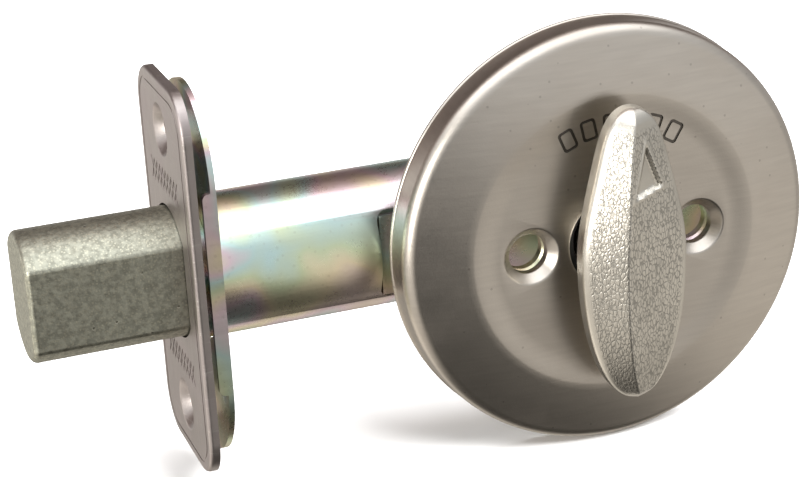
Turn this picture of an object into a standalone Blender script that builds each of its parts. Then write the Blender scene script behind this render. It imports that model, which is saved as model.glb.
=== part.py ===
"""One-sided tubular deadbolt: latch tube and bolt, crank mechanism, rosette and thumbturn.

World frame: the origin is where the thumbturn's spindle axis (Y) crosses the bolt's axis (X).
The bolt leaves the door edge towards -X, the rosette faces -Y and +Z is up. Units are metres.
The model is in its locked pose: bolt out and thumbturn upright.
"""

import math

import bmesh
import bpy

MM = 0.001
GAP = 0.3 * MM  # air kept between neighbouring pieces

# Latch, measured along X from the spindle axis
BACKSET = 60.3 * MM
THROW = 22.0 * MM
FACEPLATE_WIDTH = 25.4 * MM
FACEPLATE_HEIGHT = 57.15 * MM
FACEPLATE_THICK = 1.5 * MM
FACEPLATE_CORNER = 6.35 * MM
SCREW_HEIGHT = 21.0 * MM
SCREW_HOLE_R = 2.5 * MM
SCREW_SINK_R = 3.8 * MM
SCREW_SINK_DEPTH = 1.2 * MM
BACKPLATE_THICK = 0.8 * MM
BACKPLATE_DEPTH = 2.0 * MM
BACKPLATE_STRAIGHT = 15.0 * MM
BACKPLATE_SCREW_R = 2.2 * MM
FACEPLATE_STANDOFF = 0.65 * MM
TUBE_R = 10.25 * MM
TUBE_WALL = 0.5 * MM
TUBE_END_X = -16.5 * MM
WINDOW_X = -32.3 * MM
WINDOW_HALF_HEIGHT = 6.6 * MM

# Bolt
BOLT_R = 9.45 * MM
BOLT_FLAT = 7.3 * MM
BOLT_LENGTH = 43.5 * MM
BOLT_EDGE = 0.7 * MM
SAW_PIN_R = 2.6 * MM
SAW_PIN_Z = 2.0 * MM
SAW_PIN_LENGTH = 35.0 * MM
SAW_BORE_FRONT = 2.8 * MM
PLUG_LENGTH = 4.2 * MM
POCKET_LENGTH = 7.5 * MM
POCKET_HALF_WIDTH = 3.6 * MM
POCKET_TOP = -2.2 * MM

# Slide bar and drive
STRAP_INNER = 2.1 * MM
STRAP_OUTER = 3.3 * MM
STRAP_TOP = -6.0 * MM
STRAP_BOTTOM = -8.7 * MM
LUG_LENGTH = 6.0 * MM
LUG_WEB = 1.1 * MM
LINK_PIN_R = 1.25 * MM
LINK_PIN_Z = -5.6 * MM
LINK_PIN_SETBACK = 4.2 * MM
DRIVE_PIN_R = 1.4 * MM
DRIVE_PIN_Z = -THROW / 2
DRIVE_FOOT_HALF = 4.4 * MM
DRIVE_FOOT_BOTTOM = -13.9 * MM

# Cam hub and its housing
DRUM_R = 5.6 * MM
DRUM_FLAT = 5.2 * MM
JOURNAL_R = 4.7 * MM
JOURNAL_HALF = 6.5 * MM
DRUM_HALF = 4.6 * MM
CAM_ARM_HALF_THICK = 1.5 * MM
CAM_ARM_HALF_WIDTH = 4.4 * MM
CAM_SLOT_HALF = 2.45 * MM
CAM_SLOT_START = 9.2 * MM
CAM_ARM_REACH = 17.4 * MM
PLATE_INNER = 5.0 * MM
PLATE_THICK = 0.9 * MM
PLATE_FRONT_X = -15.9 * MM
PLATE_REAR_X = 21.5 * MM
PLATE_HALF_HEIGHT = 9.8 * MM
TAB_INNER = 7.7 * MM
TAB_HALF_HEIGHT = 6.0 * MM
TAB_FRONT_X = -31.9 * MM
JOGGLE_LENGTH = 1.0 * MM
RIVET_X = 12.6 * MM
RIVET_Z = 7.4 * MM
RIVET_SHANK_R = 1.2 * MM
RIVET_SHOULDER_R = 1.7 * MM
RIVET_HEAD_R = 2.1 * MM
RIVET_HEAD_THICK = 0.8 * MM
SPRING_HALF_WIDTH = 3.0 * MM
SPRING_THICK = 0.4 * MM

# Rosette, measured forwards (towards -Y) from the spindle crossing
ROSETTE_R = 31.75 * MM
ROSETTE_BACK = 11.5 * MM
ROSETTE_WALL = 4.0 * MM
ROSETTE_NOSE_R = 2.2 * MM
ROSETTE_CROWN = 19.2 * MM
ROSETTE_CROWN_R = 22.0 * MM
DISH_R = 17.9 * MM
DISH_FRONT = 18.5 * MM
SHELL = 1.0 * MM
STEM_HOLE_R = 7.0 * MM
THROUGH_SCREW_X = 13.0 * MM
THROUGH_HOLE_R = 2.8 * MM
DIMPLE_R = 4.15 * MM
DIMPLE_DEPTH = 1.4 * MM
BOSS_R = 5.0 * MM

# Mounting plate, bush and thumbturn
MOUNT_PLATE_R = 20.0 * MM
MOUNT_PLATE_FRONT = 15.8 * MM
MOUNT_PLATE_THICK = 1.5 * MM
MOUNT_SCREW_R = 3.0 * MM
BUSH_FLANGE_R = 7.6 * MM
BUSH_FLANGE_THICK = 0.9 * MM
BUSH_SLEEVE_R = 6.4 * MM
STEM_R = 5.2 * MM
STEM_END = 11.7 * MM
GROOVE_R = 4.1 * MM
CLIP_THICK = 0.6 * MM
CLIP_R = 7.3 * MM
WASHER_THICK = 0.5 * MM
WASHER_R = 7.6 * MM
BLADE_HALF_X = 1.0 * MM
BLADE_HALF_Z = 2.75 * MM
BLADE_FRONT = 16.5 * MM
BLADE_BACK = -9.0 * MM
TURN_BACK = 23.5 * MM
TURN_WALL = 2.2 * MM
TURN_RIDGE = 4.0 * MM
TURN_HALF_LENGTH = 21.8 * MM
TURN_HALF_WIDTH = 7.9 * MM
TURN_RIDGE_OFFSET = -2.9 * MM

# Places worked out from the sizes above
FRONT_X = -BACKSET
TIP_X = FRONT_X - THROW
BOLT_REAR_X = TIP_X + BOLT_LENGTH
FACE_REAR_X = FRONT_X + FACEPLATE_THICK
FLANGE_X = FACE_REAR_X + FACEPLATE_STANDOFF
BACKPLATE_REAR_X = FLANGE_X + BACKPLATE_DEPTH
MOUNT_PLATE_BACK = MOUNT_PLATE_FRONT - MOUNT_PLATE_THICK
BLADE_SLOT_X = BLADE_HALF_X + GAP
BLADE_SLOT_Z = BLADE_HALF_Z + GAP

# Turns that carry a local +Z axis to the world direction named
TO_DOOR_EDGE = (0.0, -math.pi / 2, 0.0)  # local +Z becomes -X
TO_ROOM = (math.pi / 2, 0.0, 0.0)  # local +Z becomes -Y

FINISHES = {
    "satin_nickel": ((0.55, 0.52, 0.47), 0.32, 1.0),
    "cast_nickel": ((0.62, 0.60, 0.54), 0.45, 1.0),
    "plate_steel": ((0.50, 0.48, 0.46), 0.35, 1.0),
    "yellow_zinc": ((0.62, 0.55, 0.36), 0.28, 1.0),
    "cast_bolt": ((0.40, 0.41, 0.34), 0.50, 1.0),
    "hard_steel": ((0.35, 0.35, 0.36), 0.30, 1.0),
    "spring_steel": ((0.42, 0.43, 0.45), 0.25, 1.0),
    "black_nylon": ((0.02, 0.02, 0.02), 0.50, 0.0),
}


def clear_scene():
    for old in list(bpy.data.objects):
        bpy.data.objects.remove(old, do_unlink=True)


def new_collection(name):
    collection = bpy.data.collections.new(name)
    bpy.context.scene.collection.children.link(collection)
    return collection


def make_finish(name):
    colour, roughness, metallic = FINISHES[name]
    finish = bpy.data.materials.new(name)
    finish.use_nodes = True
    shader = finish.node_tree.nodes["Principled BSDF"]
    shader.inputs["Base Color"].default_value = (*colour, 1.0)
    shader.inputs["Roughness"].default_value = roughness
    shader.inputs["Metallic"].default_value = metallic
    return finish


def place(obj, collection):
    for home in list(obj.users_collection):
        home.objects.unlink(obj)
    collection.objects.link(obj)


def part(obj, name, finish):
    """Names a finished sub-part, gives it its finish and files it with the lock."""
    obj.name = name
    obj.data.name = name
    obj.data.materials.clear()
    obj.data.materials.append(materials[finish])
    place(obj, lock)
    return obj


def tool(obj):
    """Files a cutter or a piece to be joined with the others, out of sight."""
    obj.hide_render = True
    obj.display_type = "WIRE"
    place(obj, tools)
    return obj


def box(low, high):
    """A block between two corners, with its scale applied."""
    centre = [(a + b) / 2 for a, b in zip(low, high)]
    bpy.ops.mesh.primitive_cube_add(size=1.0, location=centre)
    block = bpy.context.object
    block.scale = [b - a for a, b in zip(low, high)]
    bpy.ops.object.transform_apply(location=False, rotation=False, scale=True)
    return block


def rod(radius, start, end, centre=(0.0, 0.0), turn=TO_ROOM, sides=24):
    """A cylinder from start to end along the direction that turn gives its axis."""
    middle = (start + end) / 2
    if turn == TO_ROOM:
        location = (centre[0], -middle, centre[1])
    else:
        location = (-middle, centre[0], centre[1])
    bpy.ops.mesh.primitive_cylinder_add(
        vertices=sides, radius=radius, depth=end - start, location=location, rotation=turn
    )
    return bpy.context.object


def turned(profile, turn=TO_ROOM, centre=(0.0, 0.0), steps=36, closed=True):
    """A turned piece from (radius, height) points that run down its outer side."""
    mesh = bpy.data.meshes.new("turned")
    count = len(profile)
    edges = [(i, i + 1) for i in range(count - 1)]
    if closed:
        edges.append((count - 1, 0))
    mesh.from_pydata([(r, 0.0, h) for r, h in profile], edges, [])
    piece = bpy.data.objects.new("turned", mesh)
    bpy.context.scene.collection.objects.link(piece)
    piece.rotation_euler = turn
    if turn == TO_ROOM:
        piece.location = (centre[0], 0.0, centre[1])
    else:
        piece.location = (0.0, centre[0], centre[1])
    screw = piece.modifiers.new("Turn", "SCREW")
    screw.axis = "Z"
    screw.steps = steps
    screw.render_steps = steps
    screw.use_merge_vertices = True
    screw.merge_threshold = 0.000001
    screw.use_smooth_shade = True
    return piece


def ring(outer, inner, low, high, turn=TO_ROOM, steps=32):
    return turned([(outer, high), (outer, low), (inner, low), (inner, high)], turn, steps=steps)


def boolean(piece, other, operation):
    modifier = piece.modifiers.new(operation.title(), "BOOLEAN")
    modifier.operation = operation
    modifier.object = tool(other)
    return piece


def cut(piece, *cutters):
    for cutter in cutters:
        boolean(piece, cutter, "DIFFERENCE")
    return piece


def join(piece, *others):
    for other in others:
        boolean(piece, other, "UNION")
    return piece


def round_edges_along(obj, axis, radius, segments):
    """Rounds the four edges of a block that run along one axis."""
    mesh = bmesh.new()
    mesh.from_mesh(obj.data)
    picked = []
    for edge in mesh.edges:
        run = edge.verts[0].co - edge.verts[1].co
        if abs(run[axis]) > 0.9 * run.length:
            picked.append(edge)
    bmesh.ops.bevel(
        mesh, geom=picked, offset=radius, segments=segments, affect="EDGES", profile=0.5
    )
    mesh.to_mesh(obj.data)
    mesh.free()


def soften(obj, width, segments=2, angle=40.0):
    bevel = obj.modifiers.new("Edges", "BEVEL")
    bevel.width = width
    bevel.segments = segments
    bevel.limit_method = "ANGLE"
    bevel.angle_limit = math.radians(angle)
    return obj


def arc(centre_r, centre_h, radius, start, end, count):
    """Profile points on an arc, with angles in degrees from outwards towards the room."""
    points = []
    for i in range(count + 1):
        angle = math.radians(start + (end - start) * i / count)
        r = centre_r + radius * math.cos(angle)
        points.append((r, centre_h + radius * math.sin(angle)))
    return points


def make_faceplate():
    half_y = FACEPLATE_WIDTH / 2
    half_z = FACEPLATE_HEIGHT / 2
    plate = box((FRONT_X, -half_y, -half_z), (FACE_REAR_X, half_y, half_z))
    round_edges_along(plate, 0, FACEPLATE_CORNER, 8)
    soften(plate, 0.45 * MM)
    hole = rod(BOLT_R + GAP, -FACE_REAR_X - MM, BACKSET + MM, turn=TO_DOOR_EDGE, sides=48)
    side = BOLT_FLAT + GAP
    for sign in (-1, 1):
        low, high = sorted((sign * side, sign * 2 * side))
        cut(hole, box((FRONT_X - 2 * MM, low, -side * 2), (FACE_REAR_X + 2 * MM, high, side * 2)))
    cut(plate, hole)
    for sign in (-1, 1):
        z = sign * SCREW_HEIGHT
        sink = turned(
            [
                (0.0, BACKSET + MM),
                (SCREW_SINK_R, BACKSET + MM),
                (SCREW_SINK_R, BACKSET),
                (SCREW_HOLE_R, BACKSET - SCREW_SINK_DEPTH),
                (SCREW_HOLE_R, -FACE_REAR_X - MM),
                (0.0, -FACE_REAR_X - MM),
            ],
            TO_DOOR_EDGE,
            (0.0, z),
            steps=32,
            closed=False,
        )
        cut(plate, sink)
    return part(plate, "faceplate", "plate_steel")


def make_backplate():
    half_y = FACEPLATE_WIDTH / 2
    half_z = BACKPLATE_STRAIGHT + half_y
    front = BACKPLATE_REAR_X - BACKPLATE_THICK
    plate = box((front, -half_y, -half_z), (BACKPLATE_REAR_X, half_y, half_z))
    round_edges_along(plate, 0, half_y - 0.02 * MM, 12)
    for sign in (-1, 1):
        low, high = sorted((sign * half_y, sign * (half_y - BACKPLATE_THICK)))
        lip = box((FLANGE_X, low, -BACKPLATE_STRAIGHT), (front + 0.4 * MM, high, BACKPLATE_STRAIGHT))
        join(plate, lip)
    reach = (-BACKPLATE_REAR_X - MM, -front + MM)
    cut(plate, rod(TUBE_R + GAP, *reach, turn=TO_DOOR_EDGE, sides=48))
    for sign in (-1, 1):
        centre = (0.0, sign * SCREW_HEIGHT)
        cut(plate, rod(BACKPLATE_SCREW_R, *reach, centre, TO_DOOR_EDGE, 24))
    return part(plate, "backplate", "yellow_zinc")


def make_tube():
    front = -FACE_REAR_X - GAP
    tube = ring(TUBE_R, TUBE_R - TUBE_WALL, -TUBE_END_X, front, TO_DOOR_EDGE, steps=48)
    rear = TUBE_END_X + MM
    high = WINDOW_HALF_HEIGHT
    window = box((WINDOW_X, -2 * TUBE_R, -high), (rear, 2 * TUBE_R, high))
    cut(tube, window)
    return part(tube, "bolt_tube", "yellow_zinc")


def make_bolt():
    bolt = rod(BOLT_R, -BOLT_REAR_X, -TIP_X, turn=TO_DOOR_EDGE, sides=48)
    soften(bolt, BOLT_EDGE, 3)
    beyond = 2 * BOLT_R
    for sign in (-1, 1):
        low, high = sorted((sign * BOLT_FLAT, sign * beyond))
        cut(bolt, box((TIP_X - MM, low, -beyond), (BOLT_REAR_X + MM, high, beyond)))
    pocket_front = BOLT_REAR_X - POCKET_LENGTH
    pocket = box(
        (pocket_front, -POCKET_HALF_WIDTH, -beyond),
        (BOLT_REAR_X + MM, POCKET_HALF_WIDTH, POCKET_TOP),
    )
    cut(bolt, pocket)
    bore = rod(
        SAW_PIN_R + GAP,
        -BOLT_REAR_X - MM,
        -TIP_X - SAW_BORE_FRONT,
        (0.0, SAW_PIN_Z),
        TO_DOOR_EDGE,
    )
    cut(bolt, bore)
    link = rod(LINK_PIN_R + GAP, -BOLT_R, BOLT_R, (link_pin_x(), LINK_PIN_Z), sides=20)
    cut(bolt, link)
    return part(bolt, "bolt", "cast_bolt")


def link_pin_x():
    return BOLT_REAR_X - LINK_PIN_SETBACK


def make_saw_pin():
    front = -TIP_X - SAW_BORE_FRONT - GAP
    centre = (0.0, SAW_PIN_Z)
    pin = rod(SAW_PIN_R, front - SAW_PIN_LENGTH, front, centre, TO_DOOR_EDGE, sides=24)
    soften(pin, 0.4 * MM)
    return part(pin, "saw_pin", "hard_steel")


def make_saw_pin_plug():
    rear = -BOLT_REAR_X + GAP
    centre = (0.0, SAW_PIN_Z)
    plug = rod(SAW_PIN_R, rear, rear + PLUG_LENGTH, centre, TO_DOOR_EDGE, sides=24)
    return part(plug, "saw_pin_plug", "spring_steel")


def make_slide_bar():
    """Two straps joined by a web: it hangs on the bolt and carries the drive pin."""
    front = BOLT_REAR_X - POCKET_LENGTH + GAP
    pin_x = DRIVE_PIN_Z
    bar = box((front, -STRAP_OUTER, STRAP_BOTTOM), (pin_x + DRIVE_FOOT_HALF, STRAP_OUTER, STRAP_TOP))
    lug_top = POCKET_TOP - GAP
    lug = box((front, -STRAP_OUTER, STRAP_BOTTOM), (front + LUG_LENGTH, STRAP_OUTER, lug_top))
    foot = box(
        (pin_x - DRIVE_FOOT_HALF, -STRAP_OUTER, DRIVE_FOOT_BOTTOM),
        (pin_x + DRIVE_FOOT_HALF, STRAP_OUTER, STRAP_TOP),
    )
    join(bar, lug, foot)
    inside = box(
        (front + LUG_WEB, -STRAP_INNER, -2 * BOLT_R),
        (pin_x + 2 * DRIVE_FOOT_HALF, STRAP_INNER, BOLT_R),
    )
    cut(bar, inside)
    cut(bar, rod(DRIVE_PIN_R + GAP, -BOLT_R, BOLT_R, (pin_x, DRIVE_PIN_Z), sides=20))
    cut(bar, rod(LINK_PIN_R + GAP, -BOLT_R, BOLT_R, (link_pin_x(), LINK_PIN_Z), sides=20))
    return part(bar, "slide_bar", "yellow_zinc")


def make_cross_pins():
    drive = rod(DRIVE_PIN_R, -4.0 * MM, 4.0 * MM, (DRIVE_PIN_Z, DRIVE_PIN_Z), sides=20)
    part(drive, "drive_pin", "hard_steel")
    link = rod(LINK_PIN_R, -6.6 * MM, 6.6 * MM, (link_pin_x(), LINK_PIN_Z), sides=20)
    part(link, "slide_link_pin", "hard_steel")


def make_cam_hub():
    """A drum on two journals, with a slotted arm that points at the drive pin."""
    hub = turned(
        [
            (0.0, JOURNAL_HALF),
            (JOURNAL_R, JOURNAL_HALF),
            (JOURNAL_R, DRUM_HALF),
            (DRUM_R, DRUM_HALF),
            (DRUM_R, -DRUM_HALF),
            (JOURNAL_R, -DRUM_HALF),
            (JOURNAL_R, -JOURNAL_HALF),
            (0.0, -JOURNAL_HALF),
        ],
        closed=False,
    )
    flat_reach = 2 * DRUM_R
    for corner in ((-flat_reach, DRUM_FLAT), (DRUM_FLAT, -flat_reach)):
        low = (corner[0], -DRUM_HALF - 0.1 * MM, corner[1])
        high = (flat_reach, DRUM_HALF + 0.1 * MM, flat_reach)
        cut(hub, box(low, high))
    arm = box(
        (0.0, -CAM_ARM_HALF_THICK, -CAM_ARM_HALF_WIDTH),
        (CAM_ARM_REACH, CAM_ARM_HALF_THICK, CAM_ARM_HALF_WIDTH),
    )
    slot = box(
        (CAM_SLOT_START, -2 * CAM_ARM_HALF_THICK, -CAM_SLOT_HALF),
        (CAM_ARM_REACH + MM, 2 * CAM_ARM_HALF_THICK, CAM_SLOT_HALF),
    )
    round_edges_along(arm, 1, 1.2 * MM, 4)
    for piece in (arm, slot):
        swing_from_x(piece, 135.0)
    join(hub, arm)
    cut(hub, slot)
    blade_hole = box(
        (-BLADE_SLOT_X, -2 * JOURNAL_HALF, -BLADE_SLOT_Z),
        (BLADE_SLOT_X, 2 * JOURNAL_HALF, BLADE_SLOT_Z),
    )
    cut(hub, blade_hole)
    return part(hub, "cam_hub", "yellow_zinc")


def swing_from_x(obj, degrees):
    """Turns an object about the spindle axis, from +X down through -Z."""
    obj.data.transform(obj.matrix_world.Translation(obj.location))
    obj.location = (0.0, 0.0, 0.0)
    obj.rotation_euler = (0.0, math.radians(degrees), 0.0)


def make_housing_plate(side, name):
    """side is -1 for the plate on the room side and +1 for the other."""
    low, high = sorted((side * PLATE_INNER, side * (PLATE_INNER + PLATE_THICK)))
    plate = box(
        (PLATE_FRONT_X, low, -PLATE_HALF_HEIGHT), (PLATE_REAR_X, high, PLATE_HALF_HEIGHT)
    )
    round_edges_along(plate, 1, 2.5 * MM, 5)
    joggle = [
        (TAB_FRONT_X, TAB_INNER),
        (PLATE_FRONT_X - JOGGLE_LENGTH, TAB_INNER),
        (PLATE_FRONT_X + JOGGLE_LENGTH, PLATE_INNER),
        (PLATE_FRONT_X + 3 * JOGGLE_LENGTH, PLATE_INNER),
    ]
    tab = strip(joggle, PLATE_THICK, TAB_HALF_HEIGHT, side)
    join(plate, tab)
    reach = (-2 * TAB_INNER, 2 * TAB_INNER)
    cut(plate, rod(JOURNAL_R + GAP, *reach, sides=32))
    for sign in (-1, 1):
        cut(plate, rod(THROUGH_HOLE_R + 0.4 * MM, *reach, (sign * THROUGH_SCREW_X, 0.0)))
        cut(plate, rod(RIVET_SHANK_R + GAP, *reach, (sign * RIVET_X, RIVET_Z), sides=20))
    return part(plate, name, "yellow_zinc")


def strip(path, thickness, half_height, side):
    """A bent metal strip: a path of (x, y) points, thickened outwards and extended up and down."""
    mesh = bpy.data.meshes.new("strip")
    points = [(x, side * y, -half_height) for x, y in path]
    points += [(x, side * y, half_height) for x, y in path]
    count = len(path)
    faces = [(i, i + 1, i + 1 + count, i + count) for i in range(count - 1)]
    if side > 0:
        faces = [face[::-1] for face in faces]
    mesh.from_pydata(points, [], faces)
    piece = bpy.data.objects.new("strip", mesh)
    bpy.context.scene.collection.objects.link(piece)
    solid = piece.modifiers.new("Thickness", "SOLIDIFY")
    solid.thickness = thickness
    solid.offset = 1.0
    solid.use_even_offset = True
    return piece


def make_rivets():
    shoulder = PLATE_INNER - GAP
    under_head = PLATE_INNER + PLATE_THICK + GAP
    top = under_head + RIVET_HEAD_THICK
    upper = [
        (0.0, top),
        (RIVET_HEAD_R - 0.4 * MM, top),
        (RIVET_HEAD_R, top - 0.4 * MM),
        (RIVET_HEAD_R, under_head),
        (RIVET_SHANK_R, under_head),
        (RIVET_SHANK_R, shoulder),
        (RIVET_SHOULDER_R, shoulder),
    ]
    profile = upper + [(r, -h) for r, h in reversed(upper)]
    for sign, name in ((-1, "housing_rivet_front"), (1, "housing_rivet_rear")):
        centre = (sign * RIVET_X, RIVET_Z)
        part(turned(profile, centre=centre, steps=16, closed=False), name, "yellow_zinc")


def make_detent_spring():
    """A bowed leaf above the cam's flats, trapped between the two rivets."""
    end_x = RIVET_X - RIVET_SHOULDER_R - 0.4 * MM
    path = [
        (-end_x, 8.6 * MM),
        (-end_x + 0.8 * MM, 7.4 * MM),
        (-4.0 * MM, 6.2 * MM),
        (4.0 * MM, 6.2 * MM),
        (end_x - 0.8 * MM, 7.4 * MM),
        (end_x, 8.6 * MM),
    ]
    leaf = strip(path, SPRING_THICK, SPRING_HALF_WIDTH, 1)
    leaf.rotation_euler = TO_ROOM
    return part(leaf, "detent_spring", "spring_steel")


def rosette_profile():
    """The outer face, from the rim at the door forwards and in to the stem's hole."""
    nose_centre = ROSETTE_BACK + ROSETTE_WALL
    profile = [(ROSETTE_R, ROSETTE_BACK)]
    profile += arc(ROSETTE_R - ROSETTE_NOSE_R, nose_centre, ROSETTE_NOSE_R, 0.0, 80.0, 4)
    profile.append((ROSETTE_CROWN_R + 0.6 * MM, ROSETTE_CROWN - 0.08 * MM))
    steps = 4
    for i in range(steps + 1):
        share = i / steps
        drop = (1 - math.cos(math.pi * share)) / 2
        r = ROSETTE_CROWN_R + (DISH_R - ROSETTE_CROWN_R) * share
        profile.append((r, ROSETTE_CROWN + (DISH_FRONT - ROSETTE_CROWN) * drop))
    profile.append((STEM_HOLE_R, DISH_FRONT))
    return profile


def make_rosette():
    profile = rosette_profile()
    profile.reverse()
    rosette = turned(profile, steps=48, closed=False)
    shell = rosette.modifiers.new("Shell", "SOLIDIFY")
    shell.thickness = SHELL
    shell.offset = -1.0
    for sign in (-1, 1):
        centre = (sign * THROUGH_SCREW_X, 0.0)
        boss_back = DISH_FRONT - SHELL - DIMPLE_DEPTH
        join(rosette, rod(BOSS_R, boss_back, DISH_FRONT - 0.5 * SHELL, centre, sides=24))
        dimple = turned(
            [
                (0.0, DISH_FRONT + MM),
                (DIMPLE_R + 0.1 * MM, DISH_FRONT + MM),
                (DIMPLE_R, DISH_FRONT),
                (THROUGH_HOLE_R, DISH_FRONT - DIMPLE_DEPTH),
                (THROUGH_HOLE_R, boss_back - MM),
                (0.0, boss_back - MM),
            ],
            centre=centre,
            steps=24,
            closed=False,
        )
        cut(rosette, dimple)
    return part(rosette, "rosette", "satin_nickel")


def make_mounting_plate():
    plate = ring(MOUNT_PLATE_R, BUSH_SLEEVE_R + GAP, MOUNT_PLATE_BACK, MOUNT_PLATE_FRONT, steps=40)
    for sign in (-1, 1):
        centre = (sign * THROUGH_SCREW_X, 0.0)
        cut(plate, rod(MOUNT_SCREW_R, MOUNT_PLATE_BACK - MM, MOUNT_PLATE_FRONT + MM, centre))
    return part(plate, "mounting_plate", "yellow_zinc")


def make_bush():
    flange_back = MOUNT_PLATE_FRONT + GAP
    flange_front = flange_back + BUSH_FLANGE_THICK
    bore = STEM_R + GAP
    bush = turned(
        [
            (BUSH_FLANGE_R, flange_front),
            (BUSH_FLANGE_R, flange_back),
            (BUSH_SLEEVE_R, flange_back),
            (BUSH_SLEEVE_R, MOUNT_PLATE_BACK),
            (bore, MOUNT_PLATE_BACK),
            (bore, flange_front),
        ]
    )
    return part(bush, "stem_bush", "black_nylon")


def make_washer_and_clip():
    washer_front = MOUNT_PLATE_BACK - GAP
    washer_back = washer_front - WASHER_THICK
    washer = ring(WASHER_R, STEM_R + GAP, washer_back, washer_front)
    part(washer, "spring_washer", "spring_steel")
    clip_front = washer_back - GAP
    clip_back = clip_front - CLIP_THICK
    clip = ring(CLIP_R, GROOVE_R + GAP, clip_back, clip_front)
    mouth = box((-2.4 * MM, -clip_front - MM, -2 * CLIP_R), (2.4 * MM, -clip_back + MM, 0.0))
    cut(clip, mouth)
    part(clip, "stem_clip", "spring_steel")
    return clip_back, clip_front


def turn_section(share):
    """One cross-section of the thumbturn's head, share from -1 at the foot to 1 at the top."""
    width = TURN_HALF_WIDTH * math.sqrt(1.0 - share * share)
    if share > 0.0:
        width *= 1.0 - 0.12 * math.sin(math.pi * share)
    fade = 1.0 - abs(share) ** 3
    ridge_x = TURN_RIDGE_OFFSET * fade
    ridge = TURN_BACK + TURN_WALL + TURN_RIDGE * (0.25 + 0.75 * fade) * min(1.0, width / (3 * MM))
    front = TURN_BACK + TURN_WALL
    z = share * TURN_HALF_LENGTH
    outline = [(-width, TURN_BACK), (-width, front), (ridge_x, ridge), (width, front), (width, TURN_BACK)]
    return [(x, -forward, z) for x, forward in outline]


def make_turnpiece(groove_back, groove_front):
    """The head is a loft along Z; the stem is turned and joined to it."""
    stations = 20
    mesh = bmesh.new()
    loops = []
    for i in range(stations + 1):
        share = -math.cos(math.pi * (0.04 + 0.92 * i / stations))
        verts = [mesh.verts.new(point) for point in turn_section(share)]
        loops.append([mesh.edges.new((verts[k], verts[(k + 1) % 5])) for k in range(5)])
    for lower, upper in zip(loops, loops[1:]):
        bmesh.ops.bridge_loops(mesh, edges=lower + upper)
    mesh.faces.new([edge.verts[0] for edge in loops[0]])
    mesh.faces.new([edge.verts[0] for edge in loops[-1]])
    bmesh.ops.triangulate(mesh, faces=mesh.faces[:])
    bmesh.ops.recalc_face_normals(mesh, faces=mesh.faces[:])
    data = bpy.data.meshes.new("turn_head")
    mesh.to_mesh(data)
    mesh.free()
    head = bpy.data.objects.new("turn_head", data)
    bpy.context.scene.collection.objects.link(head)
    stem = turned(
        [
            (0.0, TURN_BACK + MM),
            (STEM_R, TURN_BACK + MM),
            (STEM_R, groove_front),
            (GROOVE_R, groove_front),
            (GROOVE_R, groove_back),
            (STEM_R, groove_back),
            (STEM_R, STEM_END),
            (0.0, STEM_END),
        ],
        closed=False,
    )
    join(head, stem)
    socket = box(
        (-BLADE_SLOT_X, -BLADE_FRONT - GAP, -BLADE_SLOT_Z), (BLADE_SLOT_X, 0.0, BLADE_SLOT_Z)
    )
    cut(head, socket)
    return part(head, "turnpiece", "cast_nickel")


def make_torque_blade():
    blade = box(
        (-BLADE_HALF_X, -BLADE_FRONT, -BLADE_HALF_Z), (BLADE_HALF_X, -BLADE_BACK, BLADE_HALF_Z)
    )
    return part(blade, "torque_blade", "hard_steel")


clear_scene()
lock = new_collection("deadbolt_lock")
tools = new_collection("cutters")
materials = {name: make_finish(name) for name in FINISHES}

make_faceplate()
make_backplate()
make_tube()
make_bolt()
make_saw_pin()
make_saw_pin_plug()
make_slide_bar()
make_cross_pins()
make_cam_hub()
make_housing_plate(-1, "housing_plate_front")
make_housing_plate(1, "housing_plate_rear")
make_rivets()
make_detent_spring()
make_rosette()
make_mounting_plate()
make_bush()
clip_back_edge, clip_front_edge = make_washer_and_clip()
make_turnpiece(clip_back_edge - GAP, clip_front_edge + GAP)
make_torque_blade()
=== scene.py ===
"""Deadbolt door lock: detailed pieces, finishes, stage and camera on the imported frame.

The origin is where the thumbturn's spindle axis (Y) crosses the bolt's axis (X). The bolt leaves
towards -X, the rosette faces the room (-Y) and +Z is up. Lengths are metres.
"""

import math

import bpy
from mathutils import Matrix, Vector


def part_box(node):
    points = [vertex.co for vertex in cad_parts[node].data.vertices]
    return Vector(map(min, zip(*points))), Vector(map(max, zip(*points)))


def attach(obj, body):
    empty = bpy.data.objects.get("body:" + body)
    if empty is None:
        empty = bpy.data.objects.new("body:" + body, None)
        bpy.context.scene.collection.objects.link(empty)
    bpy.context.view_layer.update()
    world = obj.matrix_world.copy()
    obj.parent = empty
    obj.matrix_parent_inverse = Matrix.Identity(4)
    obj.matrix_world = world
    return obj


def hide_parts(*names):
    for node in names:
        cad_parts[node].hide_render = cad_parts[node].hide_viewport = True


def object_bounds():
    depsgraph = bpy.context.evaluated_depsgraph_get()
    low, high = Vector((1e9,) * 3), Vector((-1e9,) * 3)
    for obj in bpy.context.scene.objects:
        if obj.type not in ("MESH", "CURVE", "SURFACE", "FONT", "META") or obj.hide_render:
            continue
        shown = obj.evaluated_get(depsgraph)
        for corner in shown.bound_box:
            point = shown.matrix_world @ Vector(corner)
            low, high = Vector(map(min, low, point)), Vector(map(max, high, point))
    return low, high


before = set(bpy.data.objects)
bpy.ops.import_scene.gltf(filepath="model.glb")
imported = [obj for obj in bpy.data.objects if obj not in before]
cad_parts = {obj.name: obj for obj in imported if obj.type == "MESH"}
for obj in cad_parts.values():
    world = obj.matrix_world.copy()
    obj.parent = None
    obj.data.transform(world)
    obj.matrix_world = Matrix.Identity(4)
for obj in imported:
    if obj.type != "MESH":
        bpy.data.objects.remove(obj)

bl_info = {
    "name": "Deadbolt door lock",
    "version": (1, 0, 0),
    "blender": (4, 5, 0),
    "location": "3D View > Sidebar > Deadbolt",
    "description": "Builds the rosette, thumbturn, latch and bolt of a one-sided deadbolt",
    "category": "Object",
}

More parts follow.
